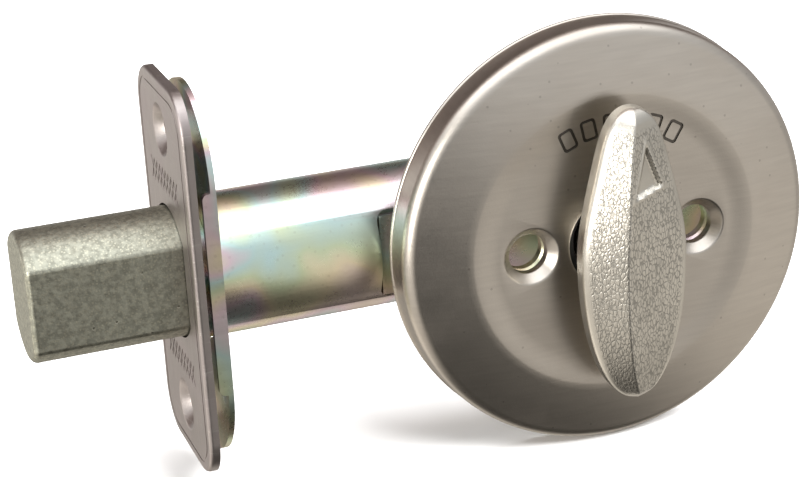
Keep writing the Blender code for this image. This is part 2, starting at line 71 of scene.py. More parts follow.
MM = 0.001
GAP = 0.3 * MM  # air between neighbouring pieces
TOUCH = 0.01 * MM  # how near to a plane an edge counts as lying on it
CAD_LOW, CAD_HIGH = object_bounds()

# Heights that face the room are measured forwards from the spindle crossing, towards -Y.
# Lengths along the latch are measured forwards too, towards -X.
ROOM = "room"
EDGE = "edge"


def forward_box(node):
    """The nearest and furthest reach of a CAD node towards the room."""
    low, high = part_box(node)
    return -high.y, -low.y


ROSETTE_BACK, ROSETTE_FRONT = forward_box("rosette")
PLATE_BACK, PLATE_FRONT = forward_box("mounting_plate")
BUSH_BACK, BUSH_FRONT = forward_box("stem_bush")
STEM_END = forward_box("turnpiece")[0]
WASHER_BACK, WASHER_FRONT = forward_box("spring_washer")
CLIP_BACK, CLIP_FRONT = forward_box("stem_clip")
BLADE_FRONT = forward_box("torque_blade")[1]
FACE_LOW, FACE_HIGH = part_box("faceplate")
REAR_PLATE_LOW, REAR_PLATE_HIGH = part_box("backplate")
TUBE_LOW, TUBE_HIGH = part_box("bolt_tube")
BOLT_LOW, BOLT_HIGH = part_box("bolt")
BAR_LOW, BAR_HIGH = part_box("slide_bar")
SAW_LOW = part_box("saw_pin")[0]
HOUSING_LOW, HOUSING_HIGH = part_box("housing_plate_rear")
LEAF_LOW, LEAF_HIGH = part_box("detent_spring")

# Screw holes and other places that a box does not tell
FACE_SCREW_Z = 21.0 * MM
THROUGH_SCREW_X = 13.0 * MM
RIVET_X = 12.6 * MM
RIVET_Z = 7.4 * MM
SAW_PIN_Z = 2.0 * MM
DISH_FRONT = 18.98 * MM
TURN_BACK = 23.5 * MM
WINDOW_FRONT_X = -32.3 * MM
LINK_BORE = 1.55 * MM
ARM_ANGLE = 135.0
BLADE_SLOT = (1.3 * MM, 3.05 * MM)

# The thumbturn's front: how far across its facets reach, and how its corners and tips round over
FACET_SHARE = 0.84
CORNER = 0.55 * MM
TIP_LENGTH = 1.6 * MM

SKY_LEVEL = 0.95


def length(name, description, default):
    return bpy.props.FloatProperty(
        name=name, description=description, default=default, min=0.0, unit="LENGTH", precision=5
    )


def colour(name, description, default):
    return bpy.props.FloatVectorProperty(
        name=name,
        description=description,
        default=default,
        min=0.0,
        max=1.0,
        size=3,
        subtype="COLOR",
    )


class DeadboltSizes(bpy.types.PropertyGroup):
    rosette_radius: length("Rosette radius", "Outer radius of the rosette", 31.75 * MM)
    rosette_wall: length("Rosette wall", "Height of the rosette's side before it rounds over", 4.0 * MM)
    rosette_nose: length("Rosette nose", "Radius of the rosette's rounded shoulder", 2.2 * MM)
    dish_radius: length("Dish radius", "Radius of the flat round recess", 17.9 * MM)
    crown_radius: length("Crown radius", "Radius of the crest round the recess", 22.0 * MM)
    stem_hole: length("Stem hole", "Radius of the hole for the thumbturn's stem", 7.0 * MM)
    dimple_radius: length("Dimple radius", "Radius of a screw dimple at its mouth", 4.35 * MM)
    screw_hole: length("Screw hole", "Radius of the hole in a screw dimple", 2.8 * MM)
    turn_half_length: length("Turn half length", "Half the thumbturn's length", 21.8 * MM)
    turn_half_width: length("Turn half width", "Half the thumbturn's width at the middle", 8.05 * MM)
    turn_wall: length("Turn wall", "Height of the thumbturn's side wall", 2.2 * MM)
    turn_ridge: length("Turn ridge", "Height of the ridge above the side wall", 4.0 * MM)
    faceplate_corner: length("Faceplate corner", "Corner radius of the faceplate", 6.35 * MM)
    faceplate_edge: length("Faceplate edge", "Rounding of the faceplate's front edge", 0.62 * MM)
    tube_wall: length("Tube wall", "Thickness of the latch tube", 0.5 * MM)
    window_half_height: length("Window half height", "Half the height of the tube's window", 6.6 * MM)
    bolt_radius: length("Bolt radius", "Radius of the bolt's round sides", 9.45 * MM)
    bolt_edge: length("Bolt edge", "Rounding of the bolt's front edge", 0.9 * MM)


class DeadboltColours(bpy.types.PropertyGroup):
    satin_nickel: colour("Satin nickel", "Rosette plating", (0.59, 0.55, 0.495))
    cast_nickel: colour("Cast nickel", "Thumbturn plating", (0.72, 0.69, 0.62))
    plate_steel: colour("Plate steel", "Faceplate steel", (0.48, 0.44, 0.42))
    zinc_gold: colour("Zinc gold", "Gold tone of the yellow zinc plating", (0.92, 0.82, 0.60))
    zinc_green: colour("Zinc green", "Green tone of the yellow zinc plating", (0.68, 0.78, 0.54))
    zinc_teal: colour("Zinc teal", "Blue-green tone of the yellow zinc plating", (0.58, 0.78, 0.76))
    zinc_rose: colour("Zinc rose", "Rose tone of the yellow zinc plating", (0.84, 0.68, 0.74))
    bolt_grey: colour("Bolt grey", "Grey-green skin of the bolt's casting", (0.43, 0.435, 0.36))
    bolt_straw: colour("Bolt straw", "Yellowish grains of the bolt's casting", (0.66, 0.64, 0.50))
    hard_steel: colour("Hard steel", "Ground hardened steel", (0.36, 0.36, 0.37))
    spring_steel: colour("Spring steel", "Rolled spring steel", (0.45, 0.45, 0.46))
    black_nylon: colour("Black nylon", "Moulded bush", (0.018, 0.018, 0.018))
    floor: colour("Floor", "Studio floor", (0.93, 0.93, 0.93))


# ---------------------------------------------------------------- modelling helpers


def select_only(piece=None):
    if bpy.context.mode != "OBJECT":
        bpy.ops.object.mode_set(mode="OBJECT")
    bpy.ops.object.select_all(action="DESELECT")
    if piece is not None:
        piece.select_set(True)
        bpy.context.view_layer.objects.active = piece


def settle():
    """Puts the new object's place, turn and scale into its mesh."""
    bpy.ops.object.transform_apply(location=True, rotation=True, scale=True)
    return bpy.context.object


def block(low, high):
    select_only()
    centre = [(a + b) / 2 for a, b in zip(low, high)]
    bpy.ops.mesh.primitive_cube_add(size=1.0, location=centre)
    bpy.context.object.scale = [b - a for a, b in zip(low, high)]
    return settle()


def at(radius, forward, facing, centre=(0.0, 0.0)):
    """A point at a radius from the axis of a piece that faces the room or the door's edge."""
    if facing == ROOM:
        return Vector((centre[0] + radius, -forward, centre[1]))
    return Vector((-forward, centre[0], centre[1] + radius))


def rod(radius, start, end, facing=ROOM, centre=(0.0, 0.0), sides=64):
    select_only()
    turn = (math.pi / 2, 0.0, 0.0) if facing == ROOM else (0.0, -math.pi / 2, 0.0)
    middle = at(0.0, (start + end) / 2, facing, centre)
    bpy.ops.mesh.primitive_cylinder_add(
        vertices=sides, radius=radius, depth=end - start, location=middle, rotation=turn
    )
    return settle()


def drawn_path(points):
    """A chain of edges through points, left in edit mode with all of it selected."""
    select_only()
    bpy.ops.mesh.primitive_plane_add(size=MM, location=points[0])
    piece = settle()
    bpy.ops.object.mode_set(mode="EDIT")
    bpy.ops.mesh.select_mode(type="VERT")
    bpy.ops.mesh.select_all(action="SELECT")
    bpy.ops.mesh.merge(type="CENTER")
    for here, there in zip(points, points[1:]):
        bpy.ops.mesh.extrude_vertices_move(TRANSFORM_OT_translate={"value": there - here})
    bpy.ops.mesh.select_all(action="SELECT")
    return piece


def turned(outline, facing=ROOM, centre=(0.0, 0.0), steps=96):
    """Spins (radius, forward) points round a piece's axis; the outline closes or ends on the axis."""
    piece = drawn_path([at(r, h, facing, centre) for r, h in outline])
    axis = at(0.0, 1.0, facing) - at(0.0, 0.0, facing)
    middle = at(0.0, 0.0, facing, centre)
    bpy.ops.mesh.spin(steps=steps, angle=2 * math.pi, center=middle, axis=axis)
    tidy_faces()
    return piece


def tidy_faces():
    """Merges doubles, turns faces outwards and leaves edit mode."""
    bpy.ops.mesh.select_all(action="SELECT")
    bpy.ops.mesh.remove_doubles(threshold=0.000002)
    bpy.ops.mesh.normals_make_consistent(inside=False)
    bpy.ops.object.mode_set(mode="OBJECT")


def profile(start, *points):
    """Outline points from (radius, forward) in mm, forward counted from a start."""
    return [(r * MM, start + h * MM) for r, h in points]


def mirrored(outline):
    """An outline that ends above the middle, carried on as its own mirror image below."""
    return outline + [(r, -h) for r, h in reversed(outline)]


def middle_of(node):
    return [(a + b) / 2 for a, b in zip(*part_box(node))]


def arc(centre, radius, start, end, count=8):
    """Outline points on an arc, angles in degrees from outwards towards the front."""
    points = []
    for i in range(count + 1):
        angle = math.radians(start + (end - start) * i / count)
        points.append((centre[0] + radius * math.cos(angle), centre[1] + radius * math.sin(angle)))
    return points


def apply_modifier(piece, kind, **settings):
    select_only(piece)
    modifier = piece.modifiers.new(kind.title(), kind)
    for name, value in settings.items():
        setattr(modifier, name, value)
    bpy.ops.object.modifier_apply(modifier=modifier.name)
    return piece


def combine(piece, other, operation):
    apply_modifier(piece, "BOOLEAN", operation=operation, object=other, solver="EXACT")
    bpy.data.objects.remove(other, do_unlink=True)
    return piece


def cut(piece, *cutters):
    for cutter in cutters:
        combine(piece, cutter, "DIFFERENCE")
    return piece


def join(piece, *others):
    for other in others:
        combine(piece, other, "UNION")
    return piece


def gather(*pieces):
    """Puts several loose pieces into one object without changing their shapes."""
    select_only(pieces[0])
    for piece in pieces[1:]:
        piece.select_set(True)
    bpy.ops.object.join()
    return pieces[0]


def edit_edges(piece, chosen):
    """Goes into edit mode with the edges selected for which chosen(a, b) is true of their ends."""
    select_only(piece)
    bpy.ops.object.mode_set(mode="EDIT")
    bpy.ops.mesh.select_mode(type="EDGE")
    bpy.ops.mesh.select_all(action="DESELECT")
    bpy.ops.object.mode_set(mode="OBJECT")
    points = piece.data.vertices
    for edge in piece.data.edges:
        a, b = (points[i].co for i in edge.vertices)
        edge.select = chosen(a, b)
    bpy.ops.object.mode_set(mode="EDIT")


def round_edges(piece, chosen, radius, segments):
    edit_edges(piece, chosen)
    bpy.ops.mesh.bevel(offset=radius, segments=segments, affect="EDGES", clamp_overlap=True)
    bpy.ops.object.mode_set(mode="OBJECT")
    return piece


def along(axis):
    """Picks straight edges that run along X, Y or Z (0, 1 or 2)."""
    return lambda a, b: abs((a - b)[axis]) > 0.98 * (a - b).length


def on_plane(x):
    """Picks edges that lie in the plane at x."""
    return lambda a, b: abs(a.x - x) < TOUCH and abs(b.x - x) < TOUCH


def soften(piece, width, segments=3, angle=35.0):
    return apply_modifier(
        piece,
        "BEVEL",
        width=width,
        segments=segments,
        limit_method="ANGLE",
        angle_limit=math.radians(angle),
        use_clamp_overlap=True,
    )


def copy_of(piece, move):
    """A copy with its own mesh, moved by a matrix."""
    twin = piece.copy()
    twin.data = piece.data.copy()
    bpy.context.scene.collection.objects.link(twin)
    twin.data.transform(move)
    return twin


def hand_over(piece, name, finish, body, nodes, smooth=32.0, even=False):
    """Names a finished piece, gives it its finish and lets it stand for its CAD nodes."""
    piece.name = name
    piece.data.name = name
    piece.data.materials.clear()
    piece.data.materials.append(finish_of(finish))
    select_only(piece)
    bpy.ops.object.mode_set(mode="EDIT")
    tidy_faces()
    bpy.ops.object.shade_smooth_by_angle(angle=math.radians(smooth))
    if even:
        apply_modifier(piece, "WEIGHTED_NORMAL", keep_sharp=True, weight=80)
    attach(piece, body)
    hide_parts(*nodes)
    return piece


# ---------------------------------------------------------------- finishes


def add_node(tree, kind, inputs=None, **settings):
    """Adds a shader node; a value in inputs is a number, a colour or the output to link from."""
    node = tree.nodes.new(kind)
    for name, value in settings.items():
        setattr(node, name, value)
    for key, value in (inputs or {}).items():
        if isinstance(value, bpy.types.NodeSocket):
            tree.links.new(value, node.inputs[key])
        else:
            node.inputs[key].default_value = value
    return node


def maths(tree, operation, *values):
    return add_node(tree, "ShaderNodeMath", dict(enumerate(values)), operation=operation).outputs[0]


def times(tree, level, *others):
    for value in others:
        level = maths(tree, "MULTIPLY", level, value)
    return level


def plus(tree, level, *others):
    for value in others:
        level = maths(tree, "ADD", level, value)
    return level


def spread(tree, value, low, high, out_low=0.0, out_high=1.0):
    """A value eased from low..high to out_low..out_high."""
    inputs = {0: value, 1: low, 2: high, 3: out_low, 4: out_high}
    return add_node(tree, "ShaderNodeMapRange", inputs, interpolation_type="SMOOTHSTEP").outputs[0]


def object_place(tree):
    return add_node(tree, "ShaderNodeTexCoord").outputs["Object"]


def split(tree, vector):
    return add_node(tree, "ShaderNodeSeparateXYZ", {0: vector}).outputs


def stretched_place(tree, **settings):
    inputs = {"Vector": object_place(tree), **settings}
    return add_node(tree, "ShaderNodeMapping", inputs).outputs[0]


def noise(tree, place, scale, dimensions="3D", **settings):
    inputs = {"Vector": place, "Scale": scale, **settings}
    return add_node(tree, "ShaderNodeTexNoise", inputs, noise_dimensions=dimensions).outputs[0]


def tinted(tree, factor, first, second):
    """Two colours mixed; a plain colour is (r, g, b)."""
    first, second = (
        c if isinstance(c, bpy.types.NodeSocket) else (*c, 1.0) for c in (first, second)
    )
    inputs = {0: factor, 6: first, 7: second}
    return add_node(tree, "ShaderNodeMix", inputs, data_type="RGBA").outputs[2]


def shade(base, amount):
    """A colour made darker or lighter."""
    return [c * amount for c in base]


def new_group(name, inputs, outputs):
    """A shader node group: {name: (kind, default)} in and {name: kind} out.

    It gives back the group, the sockets that bring its inputs and the ones that take its outputs.
    """
    group = bpy.data.node_groups.new(name, "ShaderNodeTree")
    for label, (kind, default) in inputs.items():
        socket = group.interface.new_socket(name=label, in_out="INPUT", socket_type=kind)
        socket.default_value = default
    for label, kind in outputs.items():
        group.interface.new_socket(name=label, in_out="OUTPUT", socket_type=kind)
    given = group.nodes.new("NodeGroupInput").outputs
    return group, given, group.nodes.new("NodeGroupOutput").inputs


FLOAT = "NodeSocketFloat"
VECTOR = "NodeSocketVector"
COLOUR = "NodeSocketColor"


def make_grain_group():
    """Noise stretched along one direction, for brushed, drawn and cast surfaces."""
    group, given, result = new_group(
        "metal_grain",
        {
            "Scale": (FLOAT, 1000.0),
            "Stretch": (VECTOR, (1.0, 1.0, 1.0)),
            "Detail": (FLOAT, 3.0),
            "Warp": (FLOAT, 0.0),
        },
        {"Value": FLOAT},
    )
    place = stretched_place(group, Scale=given["Stretch"])
    grain = noise(group, place, given["Scale"], Detail=given["Detail"], Distortion=given["Warp"])
    group.links.new(grain, result["Value"])


def make_blotch_group():
    """Soft patches, from none to full between two noise levels."""
    group, given, result = new_group(
        "soft_blotches",
        {"Scale": (FLOAT, 120.0), "Low": (FLOAT, 0.4), "High": (FLOAT, 0.65), "Seed": (FLOAT, 0.0)},
        {"Mask": FLOAT},
    )
    patches = noise(
        group, object_place(group), given["Scale"], dimensions="4D", W=given["Seed"], Detail=4.0
    )
    group.links.new(spread(group, patches, given["Low"], given["High"]), result["Mask"])


def make_pit_group():
    """Small round pits or grains scattered at a scale; Size is their radius in cells."""
    group, given, result = new_group(
        "pits_and_grains",
        {
            "Scale": (FLOAT, 900.0),
            "Stretch": (VECTOR, (1.0, 1.0, 1.0)),
            "Size": (FLOAT, 0.3),
            "Softness": (FLOAT, 0.15),
        },
        {"Mask": FLOAT, "Edge": FLOAT},
    )
    inputs = {
        "Vector": stretched_place(group, Scale=given["Stretch"]),
        "Scale": given["Scale"],
    }
    cells = add_node(group, "ShaderNodeTexVoronoi", inputs).outputs["Distance"]
    outer = plus(group, given["Size"], given["Softness"])
    group.links.new(spread(group, cells, given["Size"], outer, 1.0, 0.0), result["Mask"])
    borders = add_node(group, "ShaderNodeTexVoronoi", inputs, feature="DISTANCE_TO_EDGE")
    group.links.new(borders.outputs["Distance"], result["Edge"])


def make_wear_group():
    """Bright worn corners and edges, broken up by noise."""
    group, given, result = new_group(
        "worn_edges", {"Start": (FLOAT, 0.51), "Full": (FLOAT, 0.56)}, {"Mask": FLOAT}
    )
    point = add_node(group, "ShaderNodeNewGeometry").outputs["Pointiness"]
    mask = spread(group, point, given["Start"], given["Full"])
    patches = noise(group, object_place(group), 600.0, Detail=3.0)
    group.links.new(times(group, mask, spread(group, patches, 0.3, 0.6)), result["Mask"])


def make_scratch_group():
    """Fine straight scratches in two directions across a surface that faces along X or Y."""
    group, given, result = new_group(
        "light_scratches", {"Scale": (FLOAT, 160.0), "Amount": (FLOAT, 0.5)}, {"Mask": FLOAT}
    )
    lines = []
    for turn in ((0.5, 0.3, 0.2), (-0.4, 0.9, -0.7)):
        place = stretched_place(group, Rotation=turn, Scale=(1.0, 1.0, 22.0))
        lines.append(spread(group, noise(group, place, given["Scale"], Detail=2.0), 0.66, 0.72))
    total = maths(group, "MAXIMUM", *lines)
    group.links.new(times(group, total, given["Amount"]), result["Mask"])


def make_plating_group():
    """The drifting colours of yellow zinc plating, banded by height on the piece."""
    colours = bpy.context.scene.deadbolt_colours
    group, given, result = new_group(
        "zinc_plating",
        {"Scale": (FLOAT, 90.0), "Bands": (FLOAT, 40.0), "Shift": (FLOAT, 0.0)},
        {"Color": COLOUR},
    )
    place = object_place(group)
    patches = noise(group, place, given["Scale"], Detail=1.4, Distortion=0.4)
    drift = times(group, maths(group, "SUBTRACT", patches, 0.5), 2.6)
    banded = times(group, split(group, place)[2], given["Bands"])
    around = maths(group, "FRACT", plus(group, drift, banded, given["Shift"]))
    ramp = add_node(group, "ShaderNodeValToRGB", {0: around})
    stops = [colours.zinc_gold, colours.zinc_green, colours.zinc_teal, colours.zinc_rose]
    stops.append(colours.zinc_gold)
    bands = ramp.color_ramp.elements
    while len(bands) < len(stops):
        bands.new(0.5)
    for i, stop in enumerate(stops):
        bands[i].position = i / (len(stops) - 1)
        bands[i].color = (*stop, 1.0)
    group.links.new(ramp.outputs[0], result["Color"])


def use_group(tree, name, output=0, **inputs):
    """Places a node group with its own values and gives back one of its outputs."""
    node = add_node(tree, "ShaderNodeGroup", inputs, node_tree=bpy.data.node_groups[name])
    return node.outputs[output]


def own_name(finish):
    """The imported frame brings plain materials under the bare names, so these get their own."""
    return finish + "_finish"


def new_finish(name):
    finish = bpy.data.materials.new(own_name(name))
    finish.use_nodes = True
    tree = finish.node_tree
    return tree, tree.nodes["Principled BSDF"]


def dress(tree, shader, tone, stains, dullness, bumps, metallic=1.0):
    """Joins tone, roughness and relief to a shader.

    Stains are (mask, share, colour), one over the other. Dullness starts with a number and goes on
    with (mask, amount). Bumps are (height, strength, distance), one over the other.
    """
    for mask, share, stain in stains:
        tone = tinted(tree, times(tree, mask, share), tone, stain)
    rough = dullness[0]
    for mask, amount in dullness[1:]:
        rough = plus(tree, rough, times(tree, mask, amount))
    below = {}
    for height, strength, distance in bumps:
        inputs = {"Height": height, "Strength": strength, "Distance": distance, **below}
        below = {"Normal": add_node(tree, "ShaderNodeBump", inputs).outputs[0]}
    tree.links.new(tone, shader.inputs["Base Color"])
    tree.links.new(rough, shader.inputs["Roughness"])
    tree.links.new(below["Normal"], shader.inputs["Normal"])
    shader.inputs["Metallic"].default_value = metallic


def index_ink(tree):
    """Mask of the ink in the sunken index marks: just behind the dish, high up, inside the crown."""
    x, y, z = split(tree, object_place(tree))
    sunk = spread(tree, y, -DISH_FRONT + 0.03 * MM, -DISH_FRONT + 0.10 * MM)
    shallow = spread(tree, y, -DISH_FRONT + 0.35 * MM, -DISH_FRONT + 0.25 * MM)
    high = spread(tree, z, 12.0 * MM, 12.5 * MM)
    away = maths(tree, "SQRT", plus(tree, times(tree, x, x), times(tree, z, z)))
    return times(tree, sunk, shallow, high, spread(tree, away, 20.4 * MM, 20.1 * MM))


def make_satin_nickel():
    """Satin nickel plate: fine level grain, faint handling marks, a few specks."""
    tree, shader = new_finish("satin_nickel")
    base = bpy.context.scene.deadbolt_colours.satin_nickel
    grain = use_group(tree, "metal_grain", Scale=420.0, Stretch=(0.35, 1.0, 4.5), Detail=4.0)
    sand = use_group(tree, "metal_grain", Scale=3800.0, Detail=2.0)
    marks = use_group(tree, "soft_blotches", Scale=70.0, Low=0.42, High=0.68)
    specks = use_group(tree, "pits_and_grains", Scale=420.0, Size=0.05, Softness=0.05)
    scratches = use_group(tree, "light_scratches", Scale=140.0, Amount=0.35)
    dress(
        tree,
        shader,
        tinted(tree, grain, shade(base, 0.90), shade(base, 1.10)),
        [
            (marks, 0.18, (0.50, 0.43, 0.36)),
            (specks, 0.35, (0.2, 0.18, 0.16)),
            (index_ink(tree), 0.85, (0.05, 0.045, 0.04)),
        ],
        (0.27, (sand, 0.12), (marks, 0.06)),
        [(grain, 0.25, 0.00003), (sand, 0.30, 0.00002), (scratches, 0.3, -0.00002)],
    )


def make_cast_nickel():
    """Nickel over a pebbled die casting; the pebbles follow the pebbled attribute."""
    tree, shader = new_finish("cast_nickel")
    base = bpy.context.scene.deadbolt_colours.cast_nickel
    mask = add_node(tree, "ShaderNodeAttribute", attribute_name="pebbled").outputs["Fac"]
    edges = use_group(tree, "pits_and_grains", "Edge", Scale=2050.0, Stretch=(1.0, 1.0, 0.55))
    stretch = (1.0, 1.0, 0.6)
    worms = use_group(tree, "metal_grain", Scale=1500.0, Stretch=stretch, Detail=1.0, Warp=0.8)
    sand = use_group(tree, "metal_grain", Scale=4200.0, Detail=2.0)
    marks = use_group(tree, "soft_blotches", Scale=110.0, Low=0.4, High=0.7, Seed=3.0)
    wear = use_group(tree, "worn_edges", Start=0.51, Full=0.55)
    dome = spread(tree, edges, 0.0, 0.24)
    off_middle = maths(tree, "ABSOLUTE", maths(tree, "SUBTRACT", worms, 0.5))
    winding = spread(tree, off_middle, 0.0, 0.09)
    relief = plus(tree, times(tree, dome, 0.75), times(tree, winding, 0.35))
    valley = times(tree, mask, spread(tree, relief, 0.72, 0.22))
    # Painted shade: the pebbled face darkens towards the thumbturn's foot, from 6 to 21 mm below the
    # spindle
    height = split(tree, object_place(tree))[2]
    foot = times(tree, mask, spread(tree, height, -6.0 * MM, -21.0 * MM))
    dress(
        tree,
        shader,
        tinted(tree, marks, base, shade(base, 0.88)),
        [
            # painted shade at the thumbturn's foot
            (foot, 0.65, shade(base, 0.55)),
            (valley, 0.70, shade(base, 0.36)),
            (wear, 0.5, (0.86, 0.84, 0.78)),
        ],
        (0.26, (sand, 0.1), (valley, 0.2)),
        [(times(tree, relief, mask), 0.5, 0.00005), (sand, 0.25, 0.00002)],
    )


def make_plate_steel():
    """Satin steel plate: soft mottling and short scratches."""
    tree, shader = new_finish("plate_steel")
    base = bpy.context.scene.deadbolt_colours.plate_steel
    grain = use_group(tree, "metal_grain", Scale=520.0, Stretch=(1.0, 3.0, 0.6), Detail=4.0)
    sand = use_group(tree, "metal_grain", Scale=3600.0, Detail=2.0)
    marks = use_group(tree, "soft_blotches", Scale=150.0, Low=0.40, High=0.66, Seed=7.0)
    scratches = use_group(tree, "light_scratches", Scale=200.0, Amount=0.6)
    dress(
        tree,
        shader,
        tinted(tree, grain, shade(base, 0.86), shade(base, 1.12)),
        [(marks, 0.35, (0.40, 0.34, 0.35)), (scratches, 0.5, (0.66, 0.64, 0.60))],
        (0.30, (sand, 0.14), (marks, 0.08)),
        [(grain, 0.25, 0.00004), (sand, 0.35, 0.00002), (scratches, 0.5, -0.00003)],
    )


def make_yellow_zinc():
    """Yellow zinc plate: drifting gold, green and rose over drawn steel with dark speckle."""
    tree, shader = new_finish("yellow_zinc")
    plating = use_group(tree, "zinc_plating", Scale=75.0, Bands=42.0, Shift=0.15)
    drawn = use_group(tree, "metal_grain", Scale=300.0, Stretch=(0.12, 2.2, 2.2), Detail=4.0)
    sand = use_group(tree, "metal_grain", Scale=2600.0, Detail=3.0)
    specks = use_group(tree, "pits_and_grains", Scale=800.0, Size=0.12, Softness=0.12)
    marks = use_group(tree, "soft_blotches", Scale=170.0, Low=0.35, High=0.80, Seed=11.0)
    dress(
        tree,
        shader,
        plating,
        [(marks, 0.16, (0.55, 0.50, 0.36)), (specks, 0.12, (0.20, 0.17, 0.12))],
        (0.20, (sand, 0.16), (marks, 0.08)),
        [(drawn, 0.35, 0.00008), (sand, 0.3, 0.00002)],
    )


def make_cast_bolt():
    """Grainy grey-green casting: straw-coloured grains, dark pits and a sandy bump."""
    tree, shader = new_finish("cast_bolt")
    colours = bpy.context.scene.deadbolt_colours
    grey = colours.bolt_grey
    coarse = use_group(tree, "metal_grain", Scale=1300.0, Detail=6.0)
    sand = use_group(tree, "metal_grain", Scale=2400.0, Detail=3.0)
    grains = use_group(tree, "pits_and_grains", Scale=2300.0, Size=0.15, Softness=0.30)
    pits = use_group(tree, "pits_and_grains", Scale=330.0, Size=0.035, Softness=0.05)
    marks = use_group(tree, "soft_blotches", Scale=700.0, Low=0.35, High=0.75, Seed=5.0)
    dress(
        tree,
        shader,
        tinted(tree, spread(tree, coarse, 0.35, 0.65), shade(grey, 0.74), shade(grey, 1.12)),
        [
            (grains, 0.55, colours.bolt_straw),
            (marks, 0.15, (0.42, 0.38, 0.29)),
            (pits, 0.70, (0.09, 0.085, 0.07)),
        ],
        (0.34, (sand, 0.25), (grains, -0.1)),
        [(coarse, 0.30, 0.00008), (sand, 0.5, 0.00005), (pits, 0.6, -0.0001)],
    )


def make_small_steel(name, base, dull, stretch):
    """Steel for pins and springs: ground or rolled lines and faint stains."""
    tree, shader = new_finish(name)
    lines = use_group(tree, "metal_grain", Scale=900.0, Stretch=stretch, Detail=3.0)
    marks = use_group(tree, "soft_blotches", Scale=260.0, Low=0.45, High=0.7, Seed=2.0)
    tone = tinted(tree, lines, shade(base, 0.8), shade(base, 1.15))
    stains = [(marks, 0.4, (0.30, 0.26, 0.22))]
    dress(tree, shader, tone, stains, (dull, (lines, 0.15)), [(lines, 0.3, 0.00003)])


def make_black_nylon():
    """Moulded nylon: a spark-eroded skin with faint rubbed patches."""
    tree, shader = new_finish("black_nylon")
    base = bpy.context.scene.deadbolt_colours.black_nylon
    skin = use_group(tree, "metal_grain", Scale=2200.0, Detail=3.0)
    marks = use_group(tree, "soft_blotches", Scale=240.0, Low=0.45, High=0.7, Seed=4.0)
    tone = tinted(tree, marks, base, shade(base, 2.2))
    dress(tree, shader, tone, [], (0.38, (skin, 0.2)), [(skin, 0.4, 0.00004)], metallic=0.0)


def make_finishes():
    colours = bpy.context.scene.deadbolt_colours
    for build in (
        make_grain_group,
        make_blotch_group,
        make_pit_group,
        make_wear_group,
        make_scratch_group,
        make_plating_group,
        make_satin_nickel,
        make_cast_nickel,
        make_plate_steel,
        make_yellow_zinc,
        make_cast_bolt,
        make_black_nylon,
    ):
        build()
    make_small_steel("hard_steel", colours.hard_steel, 0.24, (1.0, 0.3, 1.0))
    make_small_steel("spring_steel", colours.spring_steel, 0.20, (0.3, 1.0, 1.0))


def finish_of(name):
    if own_name(name) not in bpy.data.materials:
        raise RuntimeError("the finish " + name + " is made before its pieces")
    return bpy.data.materials[own_name(name)]


# ---------------------------------------------------------------- rosette and its inside


def rosette_outline(sizes):
    """The pressed dish as a closed outline: rolled lip, wall, shoulder, crown, step, floor and back."""
    rim = sizes.rosette_radius
    nose = sizes.rosette_nose
    wall = rim - 0.3 * MM
    nose_centre = (wall - nose, ROSETTE_BACK + sizes.rosette_wall)
    outline = [(wall - 1.0 * MM, ROSETTE_BACK), (rim - 0.4 * MM, ROSETTE_BACK)]
    outline += arc((rim - 0.4 * MM, ROSETTE_BACK + 0.4 * MM), 0.4 * MM, -80.0, 60.0, 6)
    outline.append((wall, ROSETTE_BACK + 1.1 * MM))
    outline += arc(nose_centre, nose, 0.0, 79.0, 14)
    crest = sizes.crown_radius
    start = outline[-1]
    for i in range(1, 9):
        share = i / 8
        bow = 0.10 * MM * math.sin(math.pi * share)
        r = start[0] + (crest - start[0]) * share
        outline.append((r, start[1] + (ROSETTE_FRONT - start[1]) * share + bow))
    for i in range(1, 13):
        share = i / 12
        drop = (1 - math.cos(math.pi * share)) / 2
        r = crest + (sizes.dish_radius - crest) * share
        outline.append((r, ROSETTE_FRONT + (DISH_FRONT - ROSETTE_FRONT) * drop))
    hole = sizes.stem_hole
    outline += [(hole + 3.0 * MM, DISH_FRONT), (hole + 0.35 * MM, DISH_FRONT)]
    outline += arc((hole + 0.35 * MM, DISH_FRONT - 0.35 * MM), 0.35 * MM, 110.0, 180.0, 4)
    outline += [
        (hole, DISH_FRONT - MM),
        (sizes.dish_radius - 0.9 * MM, DISH_FRONT - MM),
        (crest - 0.2 * MM, ROSETTE_FRONT - MM),
        (nose_centre[0], nose_centre[1] + nose - MM),
        (wall - 1.1 * MM, nose_centre[1] + 0.3 * MM),
        (wall - MM, ROSETTE_BACK),
    ]
    return outline


def dimple_outline(sizes, back):
    """The cutter for a screw dimple: rounded mouth, cone, rounded throat and hole."""
    mouth = sizes.dimple_radius
    hole = sizes.screw_hole
    outline = [(0.0, DISH_FRONT + MM), (mouth + 0.5 * MM, DISH_FRONT + MM)]
    outline.append((mouth + 0.3 * MM, DISH_FRONT + 0.02 * MM))
    outline += arc((mouth + 0.05 * MM, DISH_FRONT - 0.5 * MM), 0.5 * MM, 84.0, 140.0, 6)
    outline += arc((hole + 0.45 * MM, DISH_FRONT - 1.45 * MM), 0.35 * MM, 140.0, 180.0, 4)
    outline += [(hole + 0.1 * MM, back - MM), (0.0, back - MM)]
    return outline


def index_marks():
    """Six small outlined oblongs on an arc above the thumbturn, as one cutter."""
    deep = 0.16 * MM
    line = 0.42 * MM
    low = Vector((-1.2 * MM, -DISH_FRONT - 0.3 * MM, 16.1 * MM))
    high = Vector((1.2 * MM, -DISH_FRONT + deep, 19.3 * MM))
    mark = round_edges(block(low, high), along(1), 0.55 * MM, 5)
    inset = Vector((line, -MM, line))
    cut(mark, round_edges(block(low + inset, high - inset), along(1), 0.28 * MM, 4))
    marks = []
    for i in range(6):
        angle = math.radians(-23.0 + 10.9 * i)
        marks.append(copy_of(mark, Matrix.Rotation(angle, 4, "Y")))
    bpy.data.objects.remove(mark, do_unlink=True)
    return gather(*marks)


